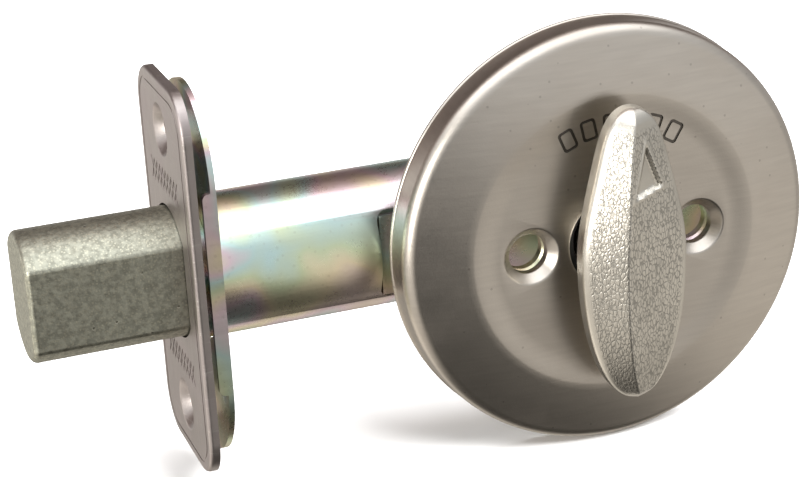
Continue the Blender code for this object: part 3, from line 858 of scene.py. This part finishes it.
# Seams are turned off the dimples' centre line and off their bosses' edges, so that no edges of a
# piece coincide with those of its cutter: a cut along coincident edges can leave the dimple closed
SEAM_ANGLE = 40.6
DIMPLE_SEAM_ANGLE = 1.7


def build_rosette(sizes):
    rosette = turned(rosette_outline(sizes), steps=192)
    rosette.data.transform(Matrix.Rotation(math.radians(SEAM_ANGLE), 4, "Y"))
    boss_back = DISH_FRONT - 2.4 * MM
    boss = profile(DISH_FRONT, (0.0, -0.4), (5.4, -0.4), (5.3, -1.0), (4.7, -1.6))
    boss += profile(boss_back, (4.1, 0.2), (3.8, 0.0), (0.0, 0.0))
    for sign in (-1, 1):
        place = Matrix.Translation((sign * THROUGH_SCREW_X, 0.0, 0.0))
        dimple = turned(dimple_outline(sizes, boss_back), steps=64)
        dimple.data.transform(place @ Matrix.Rotation(math.radians(DIMPLE_SEAM_ANGLE), 4, "Y"))
        join(rosette, turned(boss, centre=(sign * THROUGH_SCREW_X, 0.0), steps=64))
        cut(rosette, dimple)
    cut(rosette, index_marks())
    hand_over(rosette, "rosette_dish", "satin_nickel", "housing", ["rosette"], smooth=28.0)


def build_mounting(sizes):
    """The plated plate behind the rosette and the bush that the stem turns in."""
    outline = profile(PLATE_FRONT, (7.1, 0.0), (19.7, 0.0), (20.0, -0.25))
    outline += profile(PLATE_BACK, (20.0, 0.25), (19.7, 0.0), (6.7, 0.0))
    outline += profile(PLATE_FRONT, (6.7, -0.3), (7.1, 0.0))
    plate = turned(outline, steps=128)
    hole = profile(PLATE_FRONT, (0.0, 1.0), (3.35, 1.0), (3.3, 0.0), (3.0, -0.3))
    hole += profile(PLATE_BACK, (3.0, -1.0), (0.0, -1.0))
    for sign in (-1, 1):
        cut(plate, turned(hole, centre=(sign * THROUGH_SCREW_X, 0.0), steps=64))
    hand_over(plate, "mounting_disc", "yellow_zinc", "housing", ["mounting_plate"])
    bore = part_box("stem_bush")[1].x
    flange_back = PLATE_FRONT + GAP
    outline = [
        (5.75 * MM, BUSH_FRONT),
        (bore - 0.25 * MM, BUSH_FRONT),
        (bore, BUSH_FRONT - 0.25 * MM),
        (bore, flange_back),
        (6.4 * MM, flange_back),
    ]
    outline += profile(BUSH_BACK, (6.4, 0.2), (6.2, 0.0), (5.5, 0.0))
    outline += profile(BUSH_FRONT, (5.5, -0.25), (5.75, 0.0))
    bush = turned(outline, steps=96)
    hand_over(bush, "stem_bushing", "black_nylon", "housing", ["stem_bush"])


# ---------------------------------------------------------------- thumbturn


def turn_width(sizes, share):
    """Half the thumbturn's width, share from -1 at its foot to 1 at its top."""
    width = sizes.turn_half_width * math.sqrt(max(0.0, 1.0 - abs(share) ** 2.15))
    if share > 0.0:
        width *= 1.0 - 0.145 * math.sin(math.pi * share**1.6)
    return width


def turn_height(sizes, x, share, width):
    """How far the front face stands above the side wall at x, with its ridge and pointer."""
    fade = 1.0 - abs(share) ** 3.2
    ridge_x = -2.9 * MM * fade
    if share > 0.0:
        ridge_x += 0.4 * MM * math.sin(math.pi * share)
    ridge = sizes.turn_ridge * (0.30 + 0.70 * fade) * min(1.0, (width / (3.2 * MM)) ** 0.8)
    side = width - ridge_x if x > ridge_x else width + ridge_x
    run = min(1.0, abs(x - ridge_x) / max(side, 0.0001))
    return ridge * (1.0 - math.sqrt(run * run + 0.0006)), ridge_x


def pointer_depth(x, z):
    """Depth of the small triangular recess right of the ridge with its raised lip, and 1 inside it."""
    corners = ((1.0 * MM, 16.7 * MM), (-1.5 * MM, 9.6 * MM), (3.6 * MM, 10.4 * MM))
    away = 9.0
    for i in range(3):
        ax, az = corners[i]
        bx, bz = corners[(i + 1) % 3]
        run = math.hypot(bx - ax, bz - az)
        away = min(away, ((bx - ax) * (z - az) - (bz - az) * (x - ax)) / run / MM)
    inside = max(0.0, min(1.0, away / 0.6 + 0.2))
    lip = max(0.0, 1.0 - abs(away + 0.2) / 0.4)
    return (0.62 * inside * inside * (3 - 2 * inside) - 0.14 * lip) * MM, max(inside, lip)


def build_thumbturn(sizes):
    """A leaf-shaped head with a ridge and facets, on a round stem with a socket for the blade."""
    select_only()
    bpy.ops.mesh.primitive_grid_add(x_subdivisions=84, y_subdivisions=240, size=2.0)
    head = settle()
    half = sizes.turn_half_length
    wall_front = TURN_BACK + sizes.turn_wall
    for point in head.data.vertices:
        share = math.sin(math.pi / 2 * point.co.y) * 0.9992
        point.co = (point.co.x * turn_width(sizes, share), -TURN_BACK, share * half)
    count = len(head.data.vertices)
    bpy.ops.object.mode_set(mode="EDIT")
    bpy.ops.mesh.select_all(action="SELECT")
    bpy.ops.mesh.extrude_region_move(TRANSFORM_OT_translate={"value": (0.0, -sizes.turn_wall, 0.0)})
    bpy.ops.object.mode_set(mode="OBJECT")
    points = head.data.vertices
    front = [p for p in points if p.co.y < -TURN_BACK - 0.5 * sizes.turn_wall]
    if len(front) != count:
        raise RuntimeError("the thumbturn's front face was not extruded whole")
    pebbled = head.data.attributes.new("pebbled", "FLOAT", "POINT")
    for point in front:
        share = point.co.z / half
        width = turn_width(sizes, share)
        u = point.co.x / max(width, 0.000001)
        corner = min(CORNER, 0.8 * width)
        _, ridge_x = turn_height(sizes, 0.0, share, width)
        flat = width - corner
        if abs(u) <= FACET_SHARE:
            reach = abs(u) / FACET_SHARE
            x = ridge_x + (math.copysign(flat, u) - ridge_x) * reach
            sunk = 0.0
        else:
            angle = (abs(u) - FACET_SHARE) / (1.0 - FACET_SHARE) * math.pi / 2
            x = math.copysign(flat + corner * math.sin(angle), u)
            sunk = corner * (1.0 - math.cos(angle))
        rise, _ = turn_height(sizes, x, share, width)
        to_tip = half - abs(point.co.z)
        if to_tip < TIP_LENGTH:
            bent = math.sqrt(max(0.0, 1.0 - (1.0 - to_tip / TIP_LENGTH) ** 2))
            sunk += 1.1 * MM * (1.0 - bent)
        depth, inside = pointer_depth(x, point.co.z)
        point.co.x = x
        point.co.y = -(wall_front + rise - min(sunk, sizes.turn_wall) - depth)
        from_nose = (19.3 * MM - point.co.z) / (0.8 * MM)
        from_foot = (point.co.z + 20.9 * MM) / (0.6 * MM)
        from_side = (FACET_SHARE - abs(u)) / 0.06
        grain = max(0.0, min(1.0, from_nose, from_foot, from_side))
        pebbled.data[point.index].value = grain * (1.0 - min(1.0, 1.6 * inside))
    stem = profile(TURN_BACK, (0.0, 0.6), (5.2, 0.6))
    stem += [(r * MM, CLIP_FRONT + GAP) for r in (5.2, 4.1)]
    stem += [(r * MM, CLIP_BACK - GAP) for r in (4.1, 5.2)]
    stem = turned(stem + profile(STEM_END, (5.2, 0.4), (4.8, 0.0), (0.0, 0.0)), steps=64)
    low = (-BLADE_SLOT[0], -BLADE_FRONT - GAP, -BLADE_SLOT[1])
    cut(stem, block(low, (BLADE_SLOT[0], -STEM_END + MM, BLADE_SLOT[1])))
    turn = gather(head, stem)
    hand_over(turn, "thumbturn", "cast_nickel", "turn", ["turnpiece"], smooth=40.0)


def build_spindle_parts(sizes):
    """Blade, washer and clip behind the rosette."""
    blade = soften(block(*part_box("torque_blade")), 0.25 * MM, 3)
    hand_over(blade, "spindle_blade", "hard_steel", "turn", ["torque_blade"], even=True)
    washer_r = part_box("spring_washer")[1].x
    outline = profile(WASHER_FRONT, (5.5, -0.1), (6.4, 0.0))
    outline += [
        (washer_r - 0.15 * MM, WASHER_FRONT - 0.12 * MM),
        (washer_r, WASHER_FRONT - 0.25 * MM),
        (washer_r - 0.15 * MM, WASHER_BACK),
        (5.5 * MM, WASHER_BACK),
    ]
    washer = turned(outline + outline[:1], steps=72)
    hand_over(washer, "stem_washer", "spring_steel", "turn", ["spring_washer"])
    clip_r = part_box("stem_clip")[1].x
    edge = 0.12 * MM
    outline = [
        (4.4 * MM, CLIP_BACK),
        (4.4 * MM, CLIP_FRONT),
        (clip_r - edge, CLIP_FRONT),
        (clip_r, CLIP_FRONT - edge),
        (clip_r, CLIP_BACK + edge),
        (clip_r - edge, CLIP_BACK),
    ]
    clip = turned(outline + outline[:1], steps=72)
    mouth = 2.4 * MM
    cut(clip, block((-mouth, -CLIP_FRONT - MM, -2 * clip_r), (mouth, -CLIP_BACK + MM, 0.0)))
    for angle in (62.0, 118.0):
        lobe = rod(1.1 * MM, CLIP_BACK - MM, CLIP_FRONT + MM, sides=24)
        x, z = arc((0.0, 0.0), 5.9 * MM, angle, angle, 1)[0]
        lobe.data.transform(Matrix.Translation((x, 0.0, z)))
        cut(clip, lobe)
    hand_over(clip, "stem_retainer", "spring_steel", "turn", ["stem_clip"])


# ---------------------------------------------------------------- latch


def bolt_hole_tool(sizes, clearance, start, end, sides=96):
    """A rod with the bolt's two flats."""
    tool = rod(sizes.bolt_radius + clearance, start, end, EDGE, sides=sides)
    flat = BOLT_HIGH.y + clearance
    for sign in (-1, 1):
        side_low, side_high = sorted((sign * flat, sign * 3 * flat))
        cut(tool, block((-end - MM, side_low, -3 * flat), (-start + MM, side_high, 3 * flat)))
    return tool


def hatch_patch(middle_z, slant):
    """Short slanted grooves on the faceplate's front, as one cutter."""
    low = (FACE_LOW.x - 0.5 * MM, -0.16 * MM, -1.9 * MM)
    high = (FACE_LOW.x + 0.12 * MM, 0.16 * MM, 1.9 * MM)
    grooves = []
    for i in range(9):
        stroke = block(low, high)
        place = Matrix.Translation((0.0, (i - 4) * 1.6 * MM, middle_z))
        stroke.data.transform(place @ Matrix.Rotation(math.radians(slant), 4, "X"))
        grooves.append(stroke)
    return gather(*grooves)


def border_groove(sizes):
    """A shallow groove that follows the faceplate's outline, as a cutter."""
    tools = []
    for inset, reach in ((1.5 * MM, 0.0), (1.95 * MM, MM)):
        low = (FACE_LOW.x - 0.5 * MM - reach, FACE_LOW.y + inset, FACE_LOW.z + inset)
        high = (FACE_LOW.x + 0.09 * MM + reach, FACE_HIGH.y - inset, FACE_HIGH.z - inset)
        tools.append(round_edges(block(low, high), along(0), sizes.faceplate_corner - inset, 14))
    return cut(*tools)


def build_faceplate(sizes):
    plate = block(FACE_LOW, FACE_HIGH)
    round_edges(plate, along(0), sizes.faceplate_corner, 14)
    round_edges(plate, on_plane(FACE_LOW.x), sizes.faceplate_edge, 6)
    forward = -FACE_LOW.x
    back = -FACE_HIGH.x
    cut(plate, bolt_hole_tool(sizes, GAP, back - MM, forward + MM))
    sink = profile(forward, (0.0, 1.0), (4.2, 1.0), (4.0, 0.01), (3.86, -0.05), (3.70, -0.16))
    sink += profile(forward, (2.62, -1.12), (2.5, -1.26))
    sink += profile(back, (2.5, -1.0), (0.0, -1.0))
    for sign in (-1, 1):
        cut(plate, turned(sink, EDGE, (0.0, sign * FACE_SCREW_Z), steps=64))
    cut(plate, border_groove(sizes))
    for middle_z in (13.6 * MM, -13.6 * MM):
        for slant in (30.0, -24.0):
            cut(plate, hatch_patch(middle_z, slant))
    hand_over(plate, "faceplate_cover", "plate_steel", "housing", ["faceplate"], even=True)


def build_backplate(sizes):
    """Full-round plate with lips folded forwards along its straight sides."""
    thick = 0.8 * MM
    straight = 15.0 * MM
    rear, half_y, half_z = REAR_PLATE_HIGH
    tip = REAR_PLATE_LOW.x
    sheet_front = rear - thick
    plate = block((sheet_front, -half_y, -half_z), (rear, half_y, half_z))
    round_edges(plate, along(0), half_y - 0.02 * MM, 24)

    def at_tip(a, b):
        return along(1)(a, b) and abs(a.x - tip) < TOUCH

    for sign in (-1, 1):
        side_low, side_high = sorted((sign * half_y, sign * (half_y - thick)))
        lip = block((tip, side_low, -straight), (sheet_front + 0.4 * MM, side_high, straight))
        join(plate, round_edges(lip, at_tip, 0.9 * MM, 6))
    reach = (-rear - MM, -sheet_front + MM)
    cut(plate, rod(TUBE_HIGH.y + GAP, *reach, facing=EDGE, sides=96))
    for sign in (-1, 1):
        centre = (0.0, sign * FACE_SCREW_Z)
        cut(plate, rod(2.2 * MM, *reach, facing=EDGE, centre=centre, sides=48))
    soften(plate, 0.16 * MM, 3, 40.0)
    hand_over(plate, "backing_plate", "yellow_zinc", "housing", ["backplate"], even=True)


def build_tube(sizes):
    outer = TUBE_HIGH.y
    inner = outer - sizes.tube_wall
    front = -TUBE_LOW.x
    end = -TUBE_HIGH.x
    edge = 0.12 * MM
    outline = [
        (outer - edge, front),
        (outer, front - edge),
        (outer, end + edge),
        (outer - edge, end),
        (inner, end),
        (inner, front),
    ]
    tube = turned(outline + outline[:1], EDGE, steps=144)
    high = sizes.window_half_height
    window = block((WINDOW_FRONT_X, -2 * outer, -high), (TUBE_HIGH.x + 4 * MM, 2 * outer, high))
    cut(tube, round_edges(window, along(1), 1.6 * MM, 8))
    soften(tube, 0.08 * MM, 2, 50.0)
    hand_over(tube, "latch_tube", "yellow_zinc", "housing", ["bolt_tube"])


def build_bolt(sizes):
    """A cast rod with two flats, a pocket for the slide bar and a bore for the saw pin."""
    radius = sizes.bolt_radius
    rear, flat, _ = BOLT_HIGH
    bolt = rod(radius, -rear, -BOLT_LOW.x, EDGE, sides=128)
    bpy.ops.object.mode_set(mode="EDIT")
    for sign in (-1, 1):
        bpy.ops.mesh.select_all(action="SELECT")
        bpy.ops.mesh.bisect(
            plane_co=(0.0, sign * flat, 0.0),
            plane_no=(0.0, sign, 0.0),
            use_fill=True,
            clear_outer=True,
        )
    bpy.ops.object.mode_set(mode="OBJECT")

    def flat_corner(a, b):
        return along(0)(a, b) and abs(abs(a.y) - flat) < TOUCH

    round_edges(bolt, flat_corner, 0.35 * MM, 3)
    round_edges(bolt, on_plane(BOLT_LOW.x), sizes.bolt_edge, 6)
    half = 3.6 * MM
    pocket = block((rear - 7.5 * MM, -half, -2 * radius), (rear + MM, half, -2.2 * MM))
    cut(bolt, round_edges(pocket, along(1), 0.8 * MM, 4))
    saw_r = 2.9 * MM
    cut(bolt, rod(saw_r, -rear - MM, -SAW_LOW.x + GAP, EDGE, (0.0, SAW_PIN_Z), 48))
    link_x, _, link_z = middle_of("slide_link_pin")
    cut(bolt, rod(LINK_BORE, -radius, radius, centre=(link_x, link_z), sides=40))
    hand_over(bolt, "bolt_casting", "cast_bolt", "bolt", ["bolt"], even=True)


def pin(name, node, facing, finish, body):
    """A ground pin with chamfered ends, in place of a CAD pin."""
    low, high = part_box(node)
    middle = middle_of(node)
    across, deep = (1, 0) if facing == EDGE else (0, 1)
    radius = (high[across] - low[across]) / 2
    edge = min(0.35 * MM, 0.3 * radius)
    end = [(0.0, 0.0), (radius - edge, 0.0), (radius - 0.3 * edge, 0.4 * edge), (radius, edge)]
    outline = [(r, -low[deep] - h) for r, h in end]
    outline += [(r, -high[deep] + h) for r, h in reversed(end)]
    piece = turned(outline, facing, (middle[across], middle[2]), 48)
    hand_over(piece, name, finish, body, [node])


def build_slide(sizes):
    """The slide bar with its lugs and foot, and the pins that it works on."""
    outer = BAR_HIGH.y
    inner = 2.1 * MM
    strap_top = -6.0 * MM
    strap_low = -8.7 * MM
    front = BAR_LOW.x
    drive_x, _, drive_z = middle_of("drive_pin")
    link_x, _, link_z = middle_of("slide_link_pin")
    bar = block((front, -outer, strap_low), (BAR_HIGH.x, outer, strap_top))
    lug = block((front, -outer, strap_low), (front + 6.0 * MM, outer, BAR_HIGH.z))
    foot = block((drive_x - 4.4 * MM, -outer, BAR_LOW.z), (BAR_HIGH.x, outer, strap_top))
    round_edges(lug, along(1), 0.9 * MM, 5)
    round_edges(foot, along(1), 1.4 * MM, 6)
    join(bar, lug, foot)
    inside_high = (BAR_HIGH.x + 4.4 * MM, inner, 9.0 * MM)
    cut(bar, block((front + 1.1 * MM, -inner, -19.0 * MM), inside_high))
    cut(bar, rod(1.7 * MM, -9 * MM, 9 * MM, centre=(drive_x, drive_z), sides=40))
    cut(bar, rod(LINK_BORE, -9 * MM, 9 * MM, centre=(link_x, link_z), sides=40))
    soften(bar, 0.12 * MM, 2, 50.0)
    hand_over(bar, "slide_straps", "yellow_zinc", "bolt", ["slide_bar"], even=True)
    pin("strap_pin", "slide_link_pin", ROOM, "hard_steel", "bolt")
    pin("crank_pin", "drive_pin", ROOM, "hard_steel", "bolt")
    pin("bore_plug", "saw_pin_plug", EDGE, "spring_steel", "bolt")
    pin("anti_saw_pin", "saw_pin", EDGE, "hard_steel", "saw_pin")


# ---------------------------------------------------------------- crank mechanism


def build_cam(sizes):
    """Drum on two journals with a slotted arm that points at the crank pin."""
    half = 4.6 * MM
    upper = profile(0.0, (0.0, 6.5), (4.5, 6.5), (4.7, 6.3), (4.7, 4.6), (5.4, 4.6), (5.6, 4.4))
    drum = turned(mirrored(upper), steps=72)
    reach = 12.0 * MM
    flat = 5.2 * MM
    deep = half + 0.1 * MM
    for low_x, low_z in ((-reach, flat), (flat, -reach)):
        cut(drum, block((low_x, -deep, low_z), (reach, deep, reach)))
    arm = block((0.0, -1.5 * MM, -4.4 * MM), (17.4 * MM, 1.5 * MM, 4.4 * MM))
    round_edges(arm, along(1), 1.2 * MM, 8)
    slot = block((9.2 * MM, -4.0 * MM, -2.45 * MM), (19.5 * MM, 4.0 * MM, 2.45 * MM))
    round_edges(slot, lambda a, b: along(1)(a, b) and a.x < 10 * MM, 2.2 * MM, 8)
    swing = Matrix.Rotation(math.radians(ARM_ANGLE), 4, "Y")
    arm.data.transform(swing)
    slot.data.transform(swing)
    join(drum, arm)
    cut(drum, slot)
    half_x, half_z = BLADE_SLOT
    cut(drum, block((-half_x, -reach, -half_z), (half_x, reach, half_z)))
    hand_over(drum, "crank_hub", "yellow_zinc", "turn", ["cam_hub"])


def bent_strip(path, thick, half_height, side):
    """A folded strip: a path of (x, y) points drawn out up and down, thickened outwards."""
    points = [Vector((x, side * y, -half_height)) for x, y in path]
    piece = drawn_path(points)
    bpy.ops.mesh.extrude_edges_move(TRANSFORM_OT_translate={"value": (0.0, 0.0, 2 * half_height)})
    bpy.ops.object.mode_set(mode="OBJECT")
    outward = sum((face.normal.y for face in piece.data.polygons)) * side
    apply_modifier(
        piece,
        "SOLIDIFY",
        thickness=thick,
        offset=1.0 if outward > 0 else -1.0,
        use_even_offset=True,
    )
    return piece


def build_housing(sizes):
    """Two stamped side plates, their rivets and the detent leaf."""
    thick = 0.9 * MM
    inner = 5.0 * MM
    tab_inner = 7.7 * MM
    front_x = -15.9 * MM
    half = HOUSING_HIGH.z
    tab_path = [
        (HOUSING_LOW.x, tab_inner),
        (front_x - 1.4 * MM, tab_inner),
        (front_x - 0.7 * MM, tab_inner - 0.35 * MM),
        (front_x + 0.7 * MM, inner + 0.35 * MM),
        (front_x + 1.4 * MM, inner),
        (front_x + 3.0 * MM, inner),
    ]
    shoulder = inner - GAP
    under_head = inner + thick + GAP
    top = under_head + 0.8 * MM
    upper = [(0.0, top), (1.2 * MM, top)]
    upper += arc((1.45 * MM, top - 0.65 * MM), 0.65 * MM, 80.0, 0.0, 5)
    upper += [(2.1 * MM, under_head), (1.2 * MM, under_head)]
    upper += [(1.2 * MM, shoulder), (1.7 * MM, shoulder)]
    reach = (-16.0 * MM, 16.0 * MM)
    for side, where in ((-1, "front"), (1, "rear")):
        low, high = sorted((side * inner, side * (inner + thick)))
        plate = block((front_x, low, -half), (HOUSING_HIGH.x, high, half))
        round_edges(plate, along(1), 2.5 * MM, 8)
        join(plate, bent_strip(tab_path, thick, 6.0 * MM, side))
        cut(plate, rod(5.0 * MM, *reach, sides=64))
        for sign in (-1, 1):
            cut(plate, rod(3.2 * MM, *reach, centre=(sign * THROUGH_SCREW_X, 0.0), sides=48))
            cut(plate, rod(1.5 * MM, *reach, centre=(sign * RIVET_X, RIVET_Z), sides=32))
        soften(plate, 0.12 * MM, 2, 50.0)
        node = "housing_plate_" + where
        hand_over(plate, "side_plate_" + where, "yellow_zinc", "housing", [node], even=True)
    for sign, where in ((-1, "front"), (1, "rear")):
        rivet = turned(mirrored(upper), centre=(sign * RIVET_X, RIVET_Z), steps=40)
        hand_over(rivet, "rivet_" + where, "yellow_zinc", "housing", ["housing_rivet_" + where])
    leaf_path = [(LEAF_LOW.x + 0.1 * MM, 8.45 * MM)]
    leaf_path += profile(0.0, (-9.4, 7.35), (-7.2, 6.8), (-4.5, 6.28), (-3.2, 6.2))
    leaf_path += profile(0.0, (3.2, 6.2), (4.5, 6.28), (7.2, 6.8), (9.4, 7.35))
    leaf_path.append((LEAF_HIGH.x - 0.1 * MM, 8.45 * MM))
    leaf = bent_strip(leaf_path, 0.4 * MM, 3.0 * MM, 1)
    leaf.data.transform(Matrix.Rotation(math.pi / 2, 4, "X"))
    soften(leaf, 0.06 * MM, 2, 60.0)
    hand_over(leaf, "detent_leaf", "spring_steel", "housing", ["detent_spring"], smooth=40.0)


# ---------------------------------------------------------------- stage


def make_floor_finish():
    """Matt pale floor with a barely visible mottle."""
    tree, shader = new_finish("studio_floor")
    base = bpy.context.scene.deadbolt_colours.floor
    mottle = use_group(tree, "soft_blotches", Scale=9.0, Low=0.3, High=0.7, Seed=1.0)
    tree.links.new(tinted(tree, mottle, base, shade(base, 0.995)), shader.inputs["Base Color"])
    shader.inputs["Roughness"].default_value = 0.9
    shader.inputs["Specular IOR Level"].default_value = 0.1


def make_studio_sky():
    """A pale room: bright at the left and overhead, dark low in front and high behind the door."""
    world = bpy.data.worlds.new("studio")
    bpy.context.scene.world = world
    world.use_nodes = True
    tree = world.node_tree
    background = tree.nodes["Background"]
    x, y, z = split(tree, add_node(tree, "ShaderNodeTexCoord").outputs["Generated"])

    def dimmed(level, mask, share):
        return times(tree, level, maths(tree, "SUBTRACT", 1.0, times(tree, mask, share)))

    def lifted(level, mask, amount):
        return plus(tree, level, times(tree, mask, amount))

    slant = plus(tree, times(tree, x, 0.75), times(tree, z, 0.65))
    low_left = times(tree, spread(tree, y, 0.4, 0.0), spread(tree, slant, 0.10, -0.21))
    level = lifted(0.80, low_left, -0.74)
    level = lifted(level, spread(tree, z, 0.62, 0.84), 1.60)
    level = lifted(level, spread(tree, x, -0.38, -0.62), 0.75)
    level = dimmed(level, spread(tree, x, 0.75, 0.95), 0.35)
    behind = times(tree, spread(tree, y, 0.22, 0.42), spread(tree, z, 0.02, 0.25))
    level = dimmed(level, behind, 0.86)
    level = dimmed(level, spread(tree, y, 0.4, 0.8), 0.12)
    under = times(tree, spread(tree, y, 0.4, 0.8), spread(tree, z, -0.25, -0.45))
    level = dimmed(level, under, 0.45)
    tint = tinted(tree, spread(tree, z, -0.6, 0.5), (1.0, 0.93, 0.84), (0.98, 0.985, 1.0))
    tint = tinted(tree, behind, tint, (1.0, 0.72, 0.62))
    tree.links.new(tint, background.inputs["Color"])
    tree.links.new(times(tree, level, SKY_LEVEL), background.inputs["Strength"])


def add_lamp(name, place, size, power, tint=(1.0, 1.0, 1.0), mirrored=False):
    select_only()
    bpy.ops.object.light_add(type="AREA", location=place)
    lamp = bpy.context.object
    lamp.name = name
    lamp.data.shape = "RECTANGLE"
    lamp.data.size, lamp.data.size_y = size
    lamp.data.energy = power
    lamp.data.color = tint
    lamp.rotation_mode = "QUATERNION"
    lamp.rotation_quaternion = (-Vector(place)).to_track_quat("-Z", "Y")
    lamp.visible_glossy = mirrored
    return lamp


CAMERA_PLACE = (-0.12146, -0.28197, 0.11184)
CAMERA_AZIMUTH = 0.3264
CAMERA_ELEVATION = 0.3633
CAMERA_ROLL = -0.0573
CAMERA_LENS = 97.27


def place_camera():
    """A long lens, left of the rosette and a little above it, tipped a few degrees."""
    az, el, roll = CAMERA_AZIMUTH, CAMERA_ELEVATION, CAMERA_ROLL
    ahead = Vector((math.sin(az) * math.cos(el), math.cos(az) * math.cos(el), -math.sin(el)))
    level = Vector((math.cos(az), -math.sin(az), 0.0))
    above = level.cross(ahead)
    right = level * math.cos(roll) + above * math.sin(roll)
    up = above * math.cos(roll) - level * math.sin(roll)
    turn = Matrix((right, up, -ahead)).transposed()
    select_only()
    bpy.ops.object.camera_add(location=CAMERA_PLACE, rotation=turn.to_euler())
    camera = bpy.context.object
    camera.name = "camera"
    camera.data.lens = CAMERA_LENS
    camera.data.sensor_width = 36.0
    camera.data.clip_start = 0.01
    camera.data.clip_end = 20.0
    bpy.context.scene.camera = camera


def build_stage():
    make_floor_finish()
    select_only()
    bpy.ops.mesh.primitive_plane_add(size=8.0, location=(0.0, 0.0, CAD_LOW.z - 0.4 * MM))
    floor = settle()
    floor.name = "floor"
    floor.data.materials.append(finish_of("studio_floor"))
    floor.visible_glossy = False
    make_studio_sky()
    add_lamp("key_softbox", (0.18, -0.46, 0.42), (0.34, 0.22), 7.0)
    warm = (1.0, 0.97, 0.92)
    add_lamp("left_softbox", (-0.62, -0.30, 0.10), (0.30, 0.40), 2.5, warm, mirrored=True)
    add_lamp("top_softbox", (0.0, 0.15, 1.1), (0.9, 0.9), 14.0)
    place_camera()
    bpy.context.scene.view_settings.view_transform = "Standard"
    bpy.context.scene.view_settings.look = "None"


# ---------------------------------------------------------------- operators and panel


class DEADBOLT_OT_finishes(bpy.types.Operator):
    """Makes the node groups and the metal and nylon finishes"""

    bl_idname = "deadbolt.finishes"
    bl_label = "Make finishes"

    def execute(self, context):
        make_finishes()
        return {"FINISHED"}


class DEADBOLT_OT_rosette(bpy.types.Operator):
    """Builds the pressed rosette with its dimples and marks"""

    bl_idname = "deadbolt.rosette"
    bl_label = "Build rosette"

    def execute(self, context):
        build_rosette(context.scene.deadbolt_sizes)
        return {"FINISHED"}


class DEADBOLT_OT_mounting(bpy.types.Operator):
    """Builds the mounting plate and the bush behind the rosette"""

    bl_idname = "deadbolt.mounting"
    bl_label = "Build mounting plate and bush"

    def execute(self, context):
        build_mounting(context.scene.deadbolt_sizes)
        return {"FINISHED"}


class DEADBOLT_OT_thumbturn(bpy.types.Operator):
    """Builds the ridged thumbturn with its stem"""

    bl_idname = "deadbolt.thumbturn"
    bl_label = "Build thumbturn"

    def execute(self, context):
        build_thumbturn(context.scene.deadbolt_sizes)
        return {"FINISHED"}


class DEADBOLT_OT_spindle_parts(bpy.types.Operator):
    """Builds the blade, washer and clip on the spindle"""

    bl_idname = "deadbolt.spindle_parts"
    bl_label = "Build spindle parts"

    def execute(self, context):
        build_spindle_parts(context.scene.deadbolt_sizes)
        return {"FINISHED"}


class DEADBOLT_OT_faceplate(bpy.types.Operator):
    """Builds the faceplate and the plate behind it"""

    bl_idname = "deadbolt.faceplate"
    bl_label = "Build faceplate and backplate"

    def execute(self, context):
        build_faceplate(context.scene.deadbolt_sizes)
        build_backplate(context.scene.deadbolt_sizes)
        return {"FINISHED"}


class DEADBOLT_OT_latch(bpy.types.Operator):
    """Builds the tube, the bolt, the slide bar and their pins"""

    bl_idname = "deadbolt.latch"
    bl_label = "Build tube, bolt and slide"

    def execute(self, context):
        build_tube(context.scene.deadbolt_sizes)
        build_bolt(context.scene.deadbolt_sizes)
        build_slide(context.scene.deadbolt_sizes)
        return {"FINISHED"}


class DEADBOLT_OT_mechanism(bpy.types.Operator):
    """Builds the crank, its side plates, rivets and detent leaf"""

    bl_idname = "deadbolt.mechanism"
    bl_label = "Build crank mechanism"

    def execute(self, context):
        build_cam(context.scene.deadbolt_sizes)
        build_housing(context.scene.deadbolt_sizes)
        return {"FINISHED"}


class DEADBOLT_OT_stage(bpy.types.Operator):
    """Builds the floor, the studio light and the camera"""

    bl_idname = "deadbolt.stage"
    bl_label = "Build stage"

    def execute(self, context):
        build_stage()
        return {"FINISHED"}


STEPS = ("finishes", "rosette", "mounting", "thumbturn", "spindle_parts")
STEPS += ("faceplate", "latch", "mechanism", "stage")


class DEADBOLT_PT_panel(bpy.types.Panel):
    """Sizes, colours and build steps of the deadbolt"""

    bl_idname = "DEADBOLT_PT_panel"
    bl_label = "Deadbolt door lock"
    bl_space_type = "VIEW_3D"
    bl_region_type = "UI"
    bl_category = "Deadbolt"

    def draw(self, context):
        layout = self.layout
        for title, group in (
            ("Sizes", context.scene.deadbolt_sizes),
            ("Colours", context.scene.deadbolt_colours),
        ):
            column = layout.column(align=True)
            column.label(text=title)
            for name in group.__annotations__:
                column.prop(group, name)
        for step in STEPS:
            layout.operator("deadbolt." + step)


CLASSES = (
    DeadboltSizes,
    DeadboltColours,
    DEADBOLT_OT_finishes,
    DEADBOLT_OT_rosette,
    DEADBOLT_OT_mounting,
    DEADBOLT_OT_thumbturn,
    DEADBOLT_OT_spindle_parts,
    DEADBOLT_OT_faceplate,
    DEADBOLT_OT_latch,
    DEADBOLT_OT_mechanism,
    DEADBOLT_OT_stage,
    DEADBOLT_PT_panel,
)


def register():
    for cls in CLASSES:
        bpy.utils.register_class(cls)
    bpy.types.Scene.deadbolt_sizes = bpy.props.PointerProperty(type=DeadboltSizes)
    bpy.types.Scene.deadbolt_colours = bpy.props.PointerProperty(type=DeadboltColours)


def unregister():
    del bpy.types.Scene.deadbolt_colours
    del bpy.types.Scene.deadbolt_sizes
    for cls in reversed(CLASSES):
        bpy.utils.unregister_class(cls)


def main():
    register()
    for step in STEPS:
        getattr(bpy.ops.deadbolt, step)()


if __name__ == "__main__":
    main()
